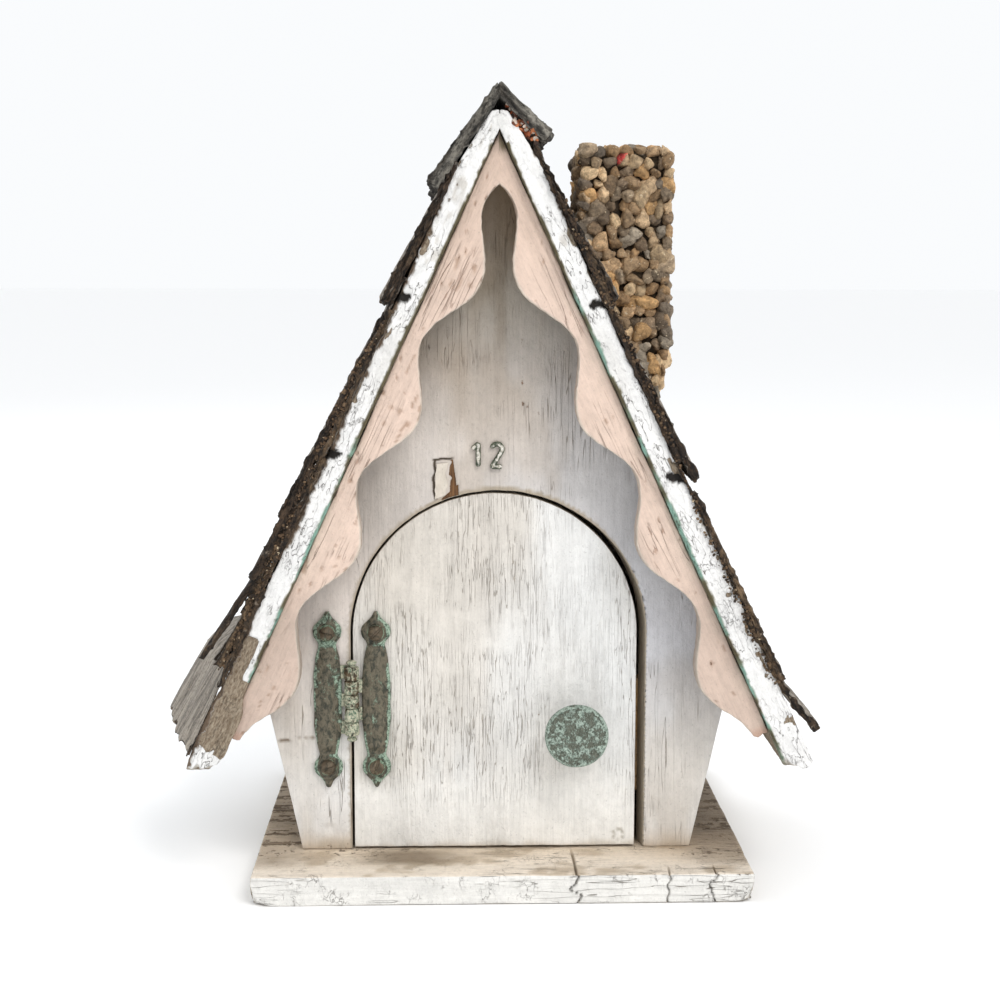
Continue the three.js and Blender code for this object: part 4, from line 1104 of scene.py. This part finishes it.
# Slivers that have split off the shakes, one of which dangles from the left corner, and a strip of
# bark that closes the gap under the right-hand ridge caps.
SLIVERS = [
    ("loose_sliver", (-110, -100), (236, 291), (14.8, 24.5), (18.6, 26.8), 0.1),
    ("slate_slip", (-107, -70), (262, 290), (13.5, 19.0), (15.0, 20.4), 0.95),
    ("edge_sliver_left_1", (-111, -102), (24, 96), (10.4, 13.0), (12.2, 15.6), 0.15),
    ("edge_sliver_left_2", (-111, -103), (98, 176), (10.2, 11.2), (13.0, 14.4), 0.5),
    ("edge_sliver_left_3", (-111, -102), (176, 232), (10.6, 11.6), (13.4, 14.6), 0.35),
    ("edge_sliver_left_4", (-111, -103), (246, 300), (10.4, 11.5), (14.6, 13.4), 0.35),
    ("edge_strip_left_1", (-110, -101), (104, 158), (13.4, 14.4), (14.8, 17.6), 0.0),
    ("edge_strip_left_2", (-110, -101), (128, 187), (13.4, 14.6), (15.2, 18.2), 0.0),
    ("edge_strip_left_3", (-110, -100), (150, 212), (14.2, 16.6), (16.6, 20.8), 0.0),
    ("edge_strip_left_4", (-111, -100), (182, 245), (14.6, 17.2), (17.2, 21.2), 0.05),
    ("edge_strip_left_5", (-109, -100), (196, 262), (14.0, 15.0), (15.6, 17.6), 0.4),
    ("crest_strip_right", (-109, 107), (13, 37), (11.0, 11.2), (13.4, 13.0), 0.2),
    ("edge_sliver_right_1", (-111, -102), (26, 96), (10.6, 12.4), (12.8, 15.8), 0.05),
    ("edge_sliver_right_2", (-111, -103), (98, 180), (11.2, 12.0), (13.8, 15.0), 0.05),
    ("edge_sliver_right_3", (-111, -101), (196, 300), (12.6, 14.6), (15.2, 17.8), 0.3),
]
for number, (name, ys, ends, under, over, grey) in enumerate(SLIVERS):
    sign = 1 if "right" in name else -1
    piece = split_shake(name, 500 + 12 * number, slope_place(sign), sign, ys, ends, under, over, 1.2, grey)
    fasten(piece, "house", "split_shake")


# ---------------------------------------------------------------------------------------------
# Ridge caps. Pairs of shakes that lean on each other over the ridge, the left one long and grey
# with lichen, the right one short. Rusty crumbs of old wood are stuck under the front pair, and
# crumbs of bark cling to the front edges of both slopes.
cap_wood = split_wood(
    "ridge_cap_wood", (1.0, 1.0, 0.16), tone(22, 18, 15), tone(62, 54, 45), tone(160, 155, 144),
    tone(140, 137, 128), 0.0020, 1.0
)


def mitred(h, y, s):
    """The head of a cap, dressed to lean on its partner."""
    return h, y, s - 0.8 * h * ease(s, 14, 0)


for side, sign in (("left", -1), ("right", 1)):
    for pair in (1, 2, 3):
        node = f"ridge_cap_{side}_{pair}"
        low, high = box_mm(node)
        peak_z = high.z - 4.3
        foot = Vector((low.x + 3.4, 0, low.z)) if sign < 0 else Vector((high.x - 2.9, 0, low.z))
        slant = math.atan2(abs(foot.x), peak_z - foot.z)
        length = math.hypot(foot.x, peak_z - foot.z)
        place = Matrix.Translation((0, 0, peak_z * MM)) @ Matrix.Rotation(-sign * slant, 4, "Y")
        piece = split_shake(
            node + "_split", 700 + 12 * pair + sign, place, sign, (low.y, high.y), (-1.0, length),
            (-0.6, -1.2), (4.6, 5.0),
            3.0, 0.4, mitred,
        )
        piece.data.materials[0] = cap_wood
        fasten(piece, "house", "split_shake", node)

RUST = ((160, 84, 48), (104, 58, 40), (184, 112, 72), (196, 180, 166), (62, 44, 34))
BARK = ((96, 74, 52), (112, 90, 66), (66, 50, 35), (44, 32, 22), (82, 63, 44))
cloud, hues = [], []
for _ in range(64):
    run = dice.uniform(3, 18)
    crumb_place = (run, dice.uniform(-109.5, -104), peak_z - 0.94 * run - dice.uniform(0.5, 6.5))
    cloud.append(pebble(np.array(crumb_place), (0, -1, 0), dice.uniform(0.6, 1.4)))
    hues.append(RUST[dice.integers(5)])
piece = heap("rusty_crumbs", cloud, hues, ball_faces)
fasten(piece, "house", "split_shake")

for side, sign in (("left", -1), ("right", 1)):
    cloud, hues = [], []
    for _ in range(520):
        run = dice.uniform(104 if sign < 0 else 40, 292 if sign < 0 else 300)
        rise = dice.uniform(11.8, 16.0 + 0.5 * (sign < 0)) - 1.6 * (sign > 0 and run > 200)
        rise = min(rise, 12.2 + (0.12 * (run - 104) if sign < 0 else 0.09 * abs(run - 190)))
        spot = np.array((sign * rise, dice.uniform(-110.9, -109.7), -run))
        cloud.append(pebble(spot, (0, -1, 0), dice.uniform(0.3, 0.8), crumb_points))
        hues.append(BARK[dice.integers(5)])
    piece = heap(f"bark_crumbs_{side}", cloud, hues, crumb_faces, slope_place(sign))
    fasten(piece, "house", "split_shake")


# ---------------------------------------------------------------------------------------------
# Paint flake. Above the arch a flake of the white paint has come away from the wall along its left
# side and its top. It is as thin as card and still holds at the bottom.
flake_outline = [
    (FLAKE_LEFT + 2.0, FLAKE_FOOT + 1.5), (FLAKE_LEFT + 7.2, FLAKE_FOOT + 3.5),
    (FLAKE_LEFT + 8.0, FLAKE_FOOT + 9.0),
    (FLAKE_LEFT + 7.0, FLAKE_FOOT + 14.5), (FLAKE_LEFT + 8.4, FLAKE_HEAD - 3.0),
    (FLAKE_LEFT + 2.6, FLAKE_HEAD - 3.6),
    (FLAKE_LEFT + 1.7, FLAKE_FOOT + 11.0),
]
points, faces = panel([flake_outline], wall_low.y - 0.55, wall_low.y - 0.05, 0.7, 0.18)
x, y, z = points.T
points[:, 0] += 0.35 * wander(points * (0, 0, 0.5), 45)
points[:, 1] -= 0.9 * ease(x, FLAKE_LEFT + 5, FLAKE_LEFT + 1.5) + 0.5 * ease(
    z, FLAKE_HEAD - 8, FLAKE_HEAD - 3
)
points[:, 1] += 0.12 * wander(points * (0.6, 0, 0.2), 46)
tints = np.array((212, 203, 190)) + 12 * wander(points * 0.4, 47)[:, None]
piece = make_piece("paint_flake", points, faces, paint_on_front, tints, {"bare": 0.15})
fasten(piece, "house", "white_paint")


# ---------------------------------------------------------------------------------------------
# House digits. A 1 and a 2 stamped from thin metal and pinned above the arch. White lies on their
# ridges, partly paint and partly a painted highlight, and their edges have gone dark green.
def patina(name, brown, dark, green, pale, cover=0.5, metallic=0.3, depth=0.0005, fine=1.0):
    """Old brass. The layer named edge, 0 to 1, brings the green crust to rims and hollows."""
    mix = Finish(name)
    broad = mix.noise(mix.place, 120 * fine, 4, 0.6, 0.5)
    small = mix.noise(mix.stretch((1, 1, 0.6)), 480 * fine, 6, 0.7, 0.6)
    crust = mix.noise(mix.place, 950, 4, 0.7)
    body = mix.mix(mix.span(small, 0.36, 0.6), dark, brown)
    body = mix.shade(body, mix.span(broad, 0.35, 0.65, 0.8, 1.12))
    amount = mix.plus(mix.times(broad, 0.55), mix.times(small, 0.45))
    amount = mix.plus(amount, mix.times(mix.layer("edge"), 0.22))
    greened = mix.span(amount, cover, cover + 0.07)
    colour = mix.mix(mix.times(greened, 0.9), body, mix.mix(mix.span(crust, 0.35, 0.6), green, pale))
    colour = mix.shade(colour, mix.span(crust, 0.28, 0.45, 0.7, 1.0))
    height = mix.plus(mix.times(small, 0.6), mix.times(greened, 0.35))
    height = mix.plus(height, mix.times(crust, 0.25))
    return mix.done(colour, mix.span(greened, 0.0, 1.0, 0.5, 0.88), height, depth, metallic)


# The pale colour that the ridges take is white paint together with a painted highlight.
digit_skin = patina(
    "painted_digit_metal", tone(104, 110, 90), tone(58, 68, 52), tone(190, 184, 168),
    tone(232, 228, 220), 0.64, 0.0
)


def tube(rings, around):
    """Faces that join rings of points one after another and close both ends."""
    ids = np.arange(rings * around).reshape(rings, around)
    faces = []
    for ring, following in zip(ids, ids[1:]):
        faces += list(zip(ring, np.roll(ring, -1), np.roll(following, -1), following))
    return faces + [tuple(ids[0][::-1]), tuple(ids[-1])]


def stroke(path, half_width, half_depth, y_middle, around=20):
    """A flattened bar swept along a path of (x, z) points, with rounded ends."""
    path = np.array(path, float)
    lengths = np.r_[0, np.cumsum(np.linalg.norm(np.diff(path, axis=0), axis=1))]
    spots = np.arange(0, lengths[-1], 0.35)
    path = np.stack([np.interp(spots, lengths, path[:, k]) for k in (0, 1)], -1)
    path[1:-1] = (path[:-2] + path[1:-1] * 2 + path[2:]) / 4
    forward = np.gradient(path, axis=0)
    forward /= np.linalg.norm(forward, axis=1, keepdims=True)
    across = np.stack([-forward[:, 1], forward[:, 0]], -1)
    from_end = np.minimum(spots, spots[-1] - spots)
    fall = np.clip(1 - (from_end + 0.15) / half_width, 0, 1)
    width = half_width * np.sqrt(np.clip(1 - fall ** 2, 0.02, 1))
    turn = np.linspace(0, 2 * math.pi, around, endpoint=False)
    ring = across[:, None, :] * (width[:, None] * np.cos(turn))[:, :, None] + path[:, None, :]
    bulge = half_depth * np.sign(np.sin(turn)) * np.abs(np.sin(turn)) ** 0.7
    depth = y_middle + bulge * (width / half_width)[:, None]
    points = at(ring[..., 0], depth, ring[..., 1]).reshape(-1, 3)
    edge = np.tile(np.abs(np.cos(turn)) ** 3, len(path))
    return points, tube(len(path), around), edge


for number in (1, 2):
    node = f"house_digit_{number}"
    low, high = box_mm(node)
    left, right, foot, head = low.x + 0.9, high.x - 0.9, low.z + 0.9, high.z - 0.9
    if number == 1:
        path = [(left, head - 2.6), (right - 0.9, head), (right - 0.9, foot)]
    else:
        bend = (right - left) / 2
        turns = np.linspace(math.radians(170), math.radians(-38), 22)
        path = arc(left + bend, head - bend, bend, bend, turns)
        path += [(left + 0.2, foot + 0.2), (right + 0.2, foot)]
    y_middle = (low.y + high.y) / 2 - 0.2
    points, faces, edge = stroke(path, 1.3, 1.1, y_middle)
    points += 0.12 * wander(points * 0.9, 48 + number)[:, None] * np.array([1, 0.6, 1])
    # 1 - edge brings that white, paint and painted highlight together, to the crest of each stroke.
    piece = make_piece(node + "_stamped", points, faces, digit_skin, None, {"edge": 1 - edge})
    fasten(piece, "house", "digit_metal", node)


# ---------------------------------------------------------------------------------------------
# Door. A board sawn to the arch, painted white like the walls, flush with the front wall. Its paint
# has fine cracks down the grain, closest together in the middle.
DOOR_RADIUS = (door_high.x - door_low.x) / 2
door_middle = (door_high.x + door_low.x) / 2
door_arch = arc(door_middle, SPRING_Z, DOOR_RADIUS, DOOR_RADIUS, np.linspace(0, math.pi, 60))
door_outline = [(door_low.x, door_low.z), (door_high.x, door_low.z)] + door_arch
points, faces = panel([door_outline], door_low.y, door_high.y, 1.6, 0.4)
out = facing(points, faces)
x, y, z = points.T
front = ease(-out[:, 1], 0.5, 0.9)
middle_band = ease(np.abs(x + 5), 62, 20)
relief = 0.14 * wander(points * (0.3, 0.2, 0.02), 51)
relief += 0.1 * middle_band * wander(points * (1.0, 0.5, 0.04), 52)
ring_mark = front * ease(np.abs(np.hypot(x - 63, z - 22) - 2.4), 0.9, 0.2)
gouge = front * ease(np.abs(x - 51 + 0.1 * z), 1.2, 0.3) * ease(z, 38, 42) * ease(z, 56, 48)
relief -= 0.35 * ring_mark + 0.3 * gouge
points += out * relief[:, None]
damp = ease(z + 2 * wander(points * (0.15, 0.1, 0.1), 53), 20, 15)
clean = ease(wander(points * (0.035, 0.1, 0.012), 54), -0.5, 0.5)
veil = ease(wander(points * (0.12, 0.1, 0.02), 55), 0.1, 0.8)
rim = 1 - ease(np.minimum(door_high.x - x, x - door_low.x), 0.5, 2.4)
edge_sides = (1 - front) * 0.9
tints = blend_tints(
    [
        clean, veil * 0.45, ease(x, -20, -68) * 0.4, ease(x, 10, 60) * 0.4, ease(z, 66, 42) * 0.85,
        damp * 0.3, ring_mark * 0.6, edge_sides,
    ],
    (216, 210, 201), (230, 229, 226), (206, 199, 190), (214, 206, 194), (222, 225, 226),
    (240, 238, 233), (150, 132, 106), (140, 132, 118), (150, 138, 120),
)
bare = 0.18 + 0.05 * middle_band + 0.12 * damp + 0.12 * rim * front
sound = 0.75 * ease(x, 5, 40) * ease(x, 66, 56) + 0.8 * ease(z, 60, 34) + 0.6 * ease(x, -48, -66)
paint_on_door = aged_paint(
    "paint_on_door", (1.0, 1.0, 0.045), tone(176, 160, 140), tone(120, 102, 84), tone(168, 157, 141),
    560, 0.014, 0.38
)
piece = make_piece("door_panel_worn", points, faces, paint_on_door, tints, {"bare": bare, "sound": sound})
fasten(piece, "door", "white_paint", "door_panel")


# ---------------------------------------------------------------------------------------------
# Hinge. A cast brass H hinge: two hammered straps with pointed finials, each held by two domed
# screws, and a barrel of five knuckles round a loose pin. Green crust lies along the rims.
def turned(profile, centre, toward, around=44, pitch=0.4):
    """A turned solid from (radius, distance) pairs, its axis from centre along toward."""
    profile = np.array(profile, float)
    lengths = np.r_[0, np.cumsum(np.linalg.norm(np.diff(profile, axis=0), axis=1))]
    spots = np.unique(np.r_[np.arange(0, lengths[-1], pitch), lengths])
    radii, reach = (np.interp(spots, lengths, profile[:, k]) for k in (0, 1))
    turn = np.linspace(0, 2 * math.pi, around, endpoint=False)
    flat = at(np.outer(radii, np.cos(turn)), np.outer(radii, np.sin(turn)), np.outer(reach, 1 + 0 * turn))
    lay = np.array(Vector((0, 0, 1)).rotation_difference(Vector(toward)).to_matrix())
    return flat.reshape(-1, 3), tube(len(radii), around), lay, np.array(centre, float)


def joined(parts):
    """Several skins as one: points, faces and edge layers put together."""
    points, faces, edges, start = [], [], [], 0
    for part_points, part_faces, edge in parts:
        faces += [tuple(int(i) + start for i in face) for face in part_faces]
        points.append(part_points)
        edges.append(edge)
        start += len(part_points)
    return np.concatenate(points), faces, np.concatenate(edges)


hinge_skin = patina(
    "hinge_patina", tone(118, 110, 92), tone(52, 55, 45), tone(62, 84, 70), tone(172, 194, 174), 0.55,
    0.25, 0.0010
)
barrel_skin = patina(
    "barrel_crust", tone(128, 100, 68), tone(52, 50, 38), tone(92, 122, 102), tone(206, 204, 180), 0.54,
    0.1, 0.0010
)
pin_low, pin_high = box_mm("hinge_pin")
PIN_X, PIN_Y = (pin_low.x + pin_high.x) / 2, (pin_low.y + pin_high.y) / 2
HINGE_Z = (pin_low.z + pin_high.z) / 2
FINIAL_Z = 35
LEAF_HEIGHTS = [0, 12, 22, 28.6, 30.5, 32.6, 35.6, 38, 39.8, 42, 43, 45.7]
LEAF_HALF_WIDTHS = [7.3, 7.1, 6.0, 4.4, 5.2, 6.9, 7.4, 6.9, 5.2, 2.9, 2.1, 0.8]
LEAF_SIDE, LEAF_TIP = LEAF_HALF_WIDTHS[0], LEAF_HEIGHTS[-1]
LEAF_FROM_PIN = 12.3
CRUST_LIMIT = 0.06
BARREL_LENGTH = 36
for leaf_name, body, side, knuckles in (("wall", "house", -1, (0, 2, 4)), ("door", "door", 1, (1, 3))):
    node = "hinge_leaf_" + leaf_name
    centre_x = PIN_X + side * LEAF_FROM_PIN
    points, faces = board(
        stations(-LEAF_SIDE, LEAF_SIDE, 0.8, 0.3), stations(-1, 1, 0.7, 0.2),
        stations(-LEAF_TIP, LEAF_TIP, 0.7, 0.3), 0.5
    )
    out = facing(points, faces)
    across, z = points[:, 0] / LEAF_SIDE, points[:, 2]
    part = (points[:, 1] + 1) / 2
    half_width = np.interp(np.abs(z), LEAF_HEIGHTS, LEAF_HALF_WIDTHS)
    half_width += 0.35 * wander(at(z * 0.25, side), 56)
    x = centre_x + across * half_width
    crown = np.clip(1 - across ** 2, 0, 1)
    beyond = np.hypot(x - centre_x, np.abs(z) - FINIAL_Z)
    boss = 0.9 * ease(beyond, 7.6, 4.0) + 0.8 * ease(np.abs(beyond - 5.6), 1.1, 0.3)
    strap = 1.3 * np.sqrt(crown) * ease(np.abs(z), 31, 22) + 0.5 * ease(np.abs(np.abs(z) - 24), 2.2, 0.6)
    tip = 0.9 * crown * ease(np.abs(z), 39, 43)
    hammer = 0.38 * wander(at(x * 0.42, 0, z * 0.34), 57 + side)
    hammer += 0.16 * wander(at(x * 1.1, 0, z * 1.0), 59 + side)
    rise = (0.7 + boss + strap + tip + hammer) * (1 - part)
    y = wall_low.y - 0.3 - 1.7 * (1 - part) - rise * (0.25 + 0.75 * crown)
    hollow = ease(np.abs(np.abs(z) - 29.5), 1.8, 0.4)
    edge = ease(np.abs(across), 0.62, 0.95) + 0.6 * hollow + 0.4 * ease(beyond, 5, 7) * ease(beyond, 9, 7)
    edge = np.clip(edge, 0, 1)
    edge = edge * ease(wander(at(x * 0.2, 0, z * 0.08), 61), -0.5, 0.3)
    strap_points = at(x, y, HINGE_Z + z)
    piece = make_piece(node + "_strap", strap_points, faces, hinge_skin, None, {"edge": edge})
    fasten(piece, body, "patina_brass", node)
    parts = []
    for k in knuckles:
        step = BARREL_LENGTH / 5
        foot = HINGE_Z + BARREL_LENGTH / 2 - (k + 1) * step + 0.2
        tall = step - 0.4
        profile = [(0.2, 0), (3.2, 0), (3.7, 0.5), (3.8, tall / 2)]
        profile += [(3.7, tall - 0.5), (3.2, tall), (0.2, tall)]
        ring, ring_faces, lay, centre = turned(profile, (PIN_X, PIN_Y, foot), (0, 0, 1), 36, 0.45)
        ring = ring @ lay.T + centre
        bump = 0.45 * wander(ring * 0.7, 62 + k) + 0.3 * wander(ring * 1.6, 67 + k)
        bump = np.minimum(bump, CRUST_LIMIT)
        away = (ring - centre) * np.array([1, 1, 0])
        ring += away / np.maximum(np.linalg.norm(away, axis=1, keepdims=True), 1) * bump[:, None]
        parts.append((ring, ring_faces, np.full(len(ring), 0.4)))
        lug, lug_faces = board(
            stations(0.6, 6.0, 0.7, 0.3), stations(wall_low.y - 2.2, wall_low.y - 0.3, 0.7, 0.2),
            stations(foot, foot + tall, 0.7, 0.3), 0.3
        )
        lug[:, 0] = PIN_X + side * lug[:, 0]
        lug += 0.15 * wander(lug, 72)[:, None]
        parts.append((lug, lug_faces, np.full(len(lug), 0.8)))
    points, faces, edge = joined(parts)
    piece = make_piece(node + "_knuckles", points, faces, barrel_skin, None, {"edge": edge})
    fasten(piece, body, "patina_brass", node)

pin_length = pin_high.z - pin_low.z
PIN_PROFILE = [(0.2, 0), (1.8, 0), (2.5, 0.5), (2.6, 1.3), (1.7, 2.2), (1.6, 2.6)]
profile = PIN_PROFILE + [(radius, pin_length - reach) for radius, reach in reversed(PIN_PROFILE)]
ring, faces, lay, centre = turned(profile, (PIN_X, PIN_Y, pin_low.z), (0, 0, 1), 28)
points = ring @ lay.T + centre + 0.12 * wander(ring * 0.9, 73)[:, None]
piece = make_piece("hinge_pin_turned", points, faces, barrel_skin, None, {"edge": 0.5})
fasten(piece, "house", "patina_brass", "hinge_pin")

screw_skin = patina(
    "screw_patina", tone(110, 96, 78), tone(66, 62, 50), tone(82, 112, 92), tone(168, 190, 166), 0.58, 0.45
)


def slotted_screw(name, node, body, reach, radius, turn):
    """A domed screw with a worn slot, its head toward the front."""
    low, high = box_mm(node)
    middle_x, middle_z = (low.x + high.x) / 2, (low.z + high.z) / 2
    shank = high.y - low.y - 2.6
    profile = [(0.2, 0), (1.1, 0.6), (1.3, shank), (radius * 0.94, shank), (radius, shank + 0.4)]
    dome = arc(0, shank + 0.5, radius, reach - 0.5, np.linspace(0.1, 1.5, 9))
    profile += dome + [(0.1, shank + reach)]
    ring, faces, lay, centre = turned(profile, (middle_x, high.y, middle_z), (0, -1, 0), 52, 0.35)
    across = ring[:, 0] * math.cos(turn) + ring[:, 1] * math.sin(turn)
    in_slot = ease(np.abs(across), 0.75, 0.35) * ease(ring[:, 2], shank + 0.6, shank + 0.9)
    ring[:, 2] -= 0.9 * in_slot
    points = ring @ lay.T + centre
    points += 0.1 * wander(points * 0.9, 74)[:, None]
    edge = np.clip(ease(np.hypot(ring[:, 0], ring[:, 1]), radius * 0.8, radius) * 0.7 - in_slot, 0, 1)
    piece = make_piece(name, points, faces, screw_skin, None, {"edge": edge})
    fasten(piece, body, "screw_steel", node)


for number, (leaf, where) in enumerate(itertools.product(("wall", "door"), ("top", "bottom"))):
    node = f"hinge_screw_{leaf}_{where}"
    body = "door" if leaf == "door" else "house"
    slotted_screw(node + "_worn", node, body, 4.6, 4.3, 1.35 + 0.5 * number)


# ---------------------------------------------------------------------------------------------
# Door knob. A turned brass disc on a short neck, screwed on from behind the door. Its face is
# mottled with verdigris and has a thin raised rim.
knob_low, knob_high = box_mm("door_knob")
knob_centre = ((knob_low.x + knob_high.x) / 2, knob_high.y, (knob_low.z + knob_high.z) / 2)
KNOB_PROFILE = [
    (0.2, 0), (7.0, 0), (7.0, 1.0), (5.4, 2.2), (5.0, 8.0), (5.6, 13.5), (8.6, 17.6), (13.2, 19.8),
    (15.3, 21.0), (16.0, 22.4), (15.9, 23.8), (15.2, 24.9), (14.5, 25.2), (13.8, 24.8), (12.6, 24.9),
    (6.0, 25.3), (0.15, 25.4),
]
ring, faces, lay, centre = turned(KNOB_PROFILE, knob_centre, (0, -1, 0), 110, 0.45)
reach = np.hypot(ring[:, 0], ring[:, 1])
face = ease(ring[:, 2], 24.2, 24.8)
mottle = 0.16 * wander(ring * (0.4, 0.4, 0.1), 75) + 0.08 * wander(ring * (1.2, 1.2, 0.1), 76)
ring[:, 2] += face * mottle
ring[:, :2] *= (1 + 0.008 * wander(ring * 0.3, 77) * ease(reach, 10, 15))[:, None]
points = ring @ lay.T + centre
knob_skin = patina(
    "knob_patina", tone(116, 120, 106), tone(70, 76, 64), tone(96, 112, 101), tone(178, 194, 182), 0.5,
    0.15, 0.0006, 2.8
)
edge = 0.12 * face + 0.5 * ease(reach, 14.2, 15.2)
piece = make_piece("door_knob_turned", points, faces, knob_skin, None, {"edge": edge})
fasten(piece, "door", "patina_brass", "door_knob")

low, high = box_mm("knob_screw")
shank = high.y - low.y - 2.4
profile = [(0.2, 0), (1.6, 0.8), (2.0, shank), (3.9, shank), (4.2, shank + 0.4)]
profile += arc(0, shank + 0.5, 4.2, 1.9, np.linspace(0.1, 1.5, 8)) + [(0.1, shank + 2.4)]
screw_centre = ((low.x + high.x) / 2, low.y, (low.z + high.z) / 2)
ring, faces, lay, centre = turned(profile, screw_centre, (0, 1, 0), 44, 0.4)
in_slot = ease(np.abs(ring[:, 0]), 0.8, 0.35) * ease(ring[:, 2], shank + 0.6, shank + 0.9)
ring[:, 2] -= 0.9 * in_slot
points = ring @ lay.T + centre
piece = make_piece("knob_screw_worn", points, faces, screw_skin, None, {"edge": in_slot * 0.8})
fasten(piece, "door", "screw_steel", "knob_screw")
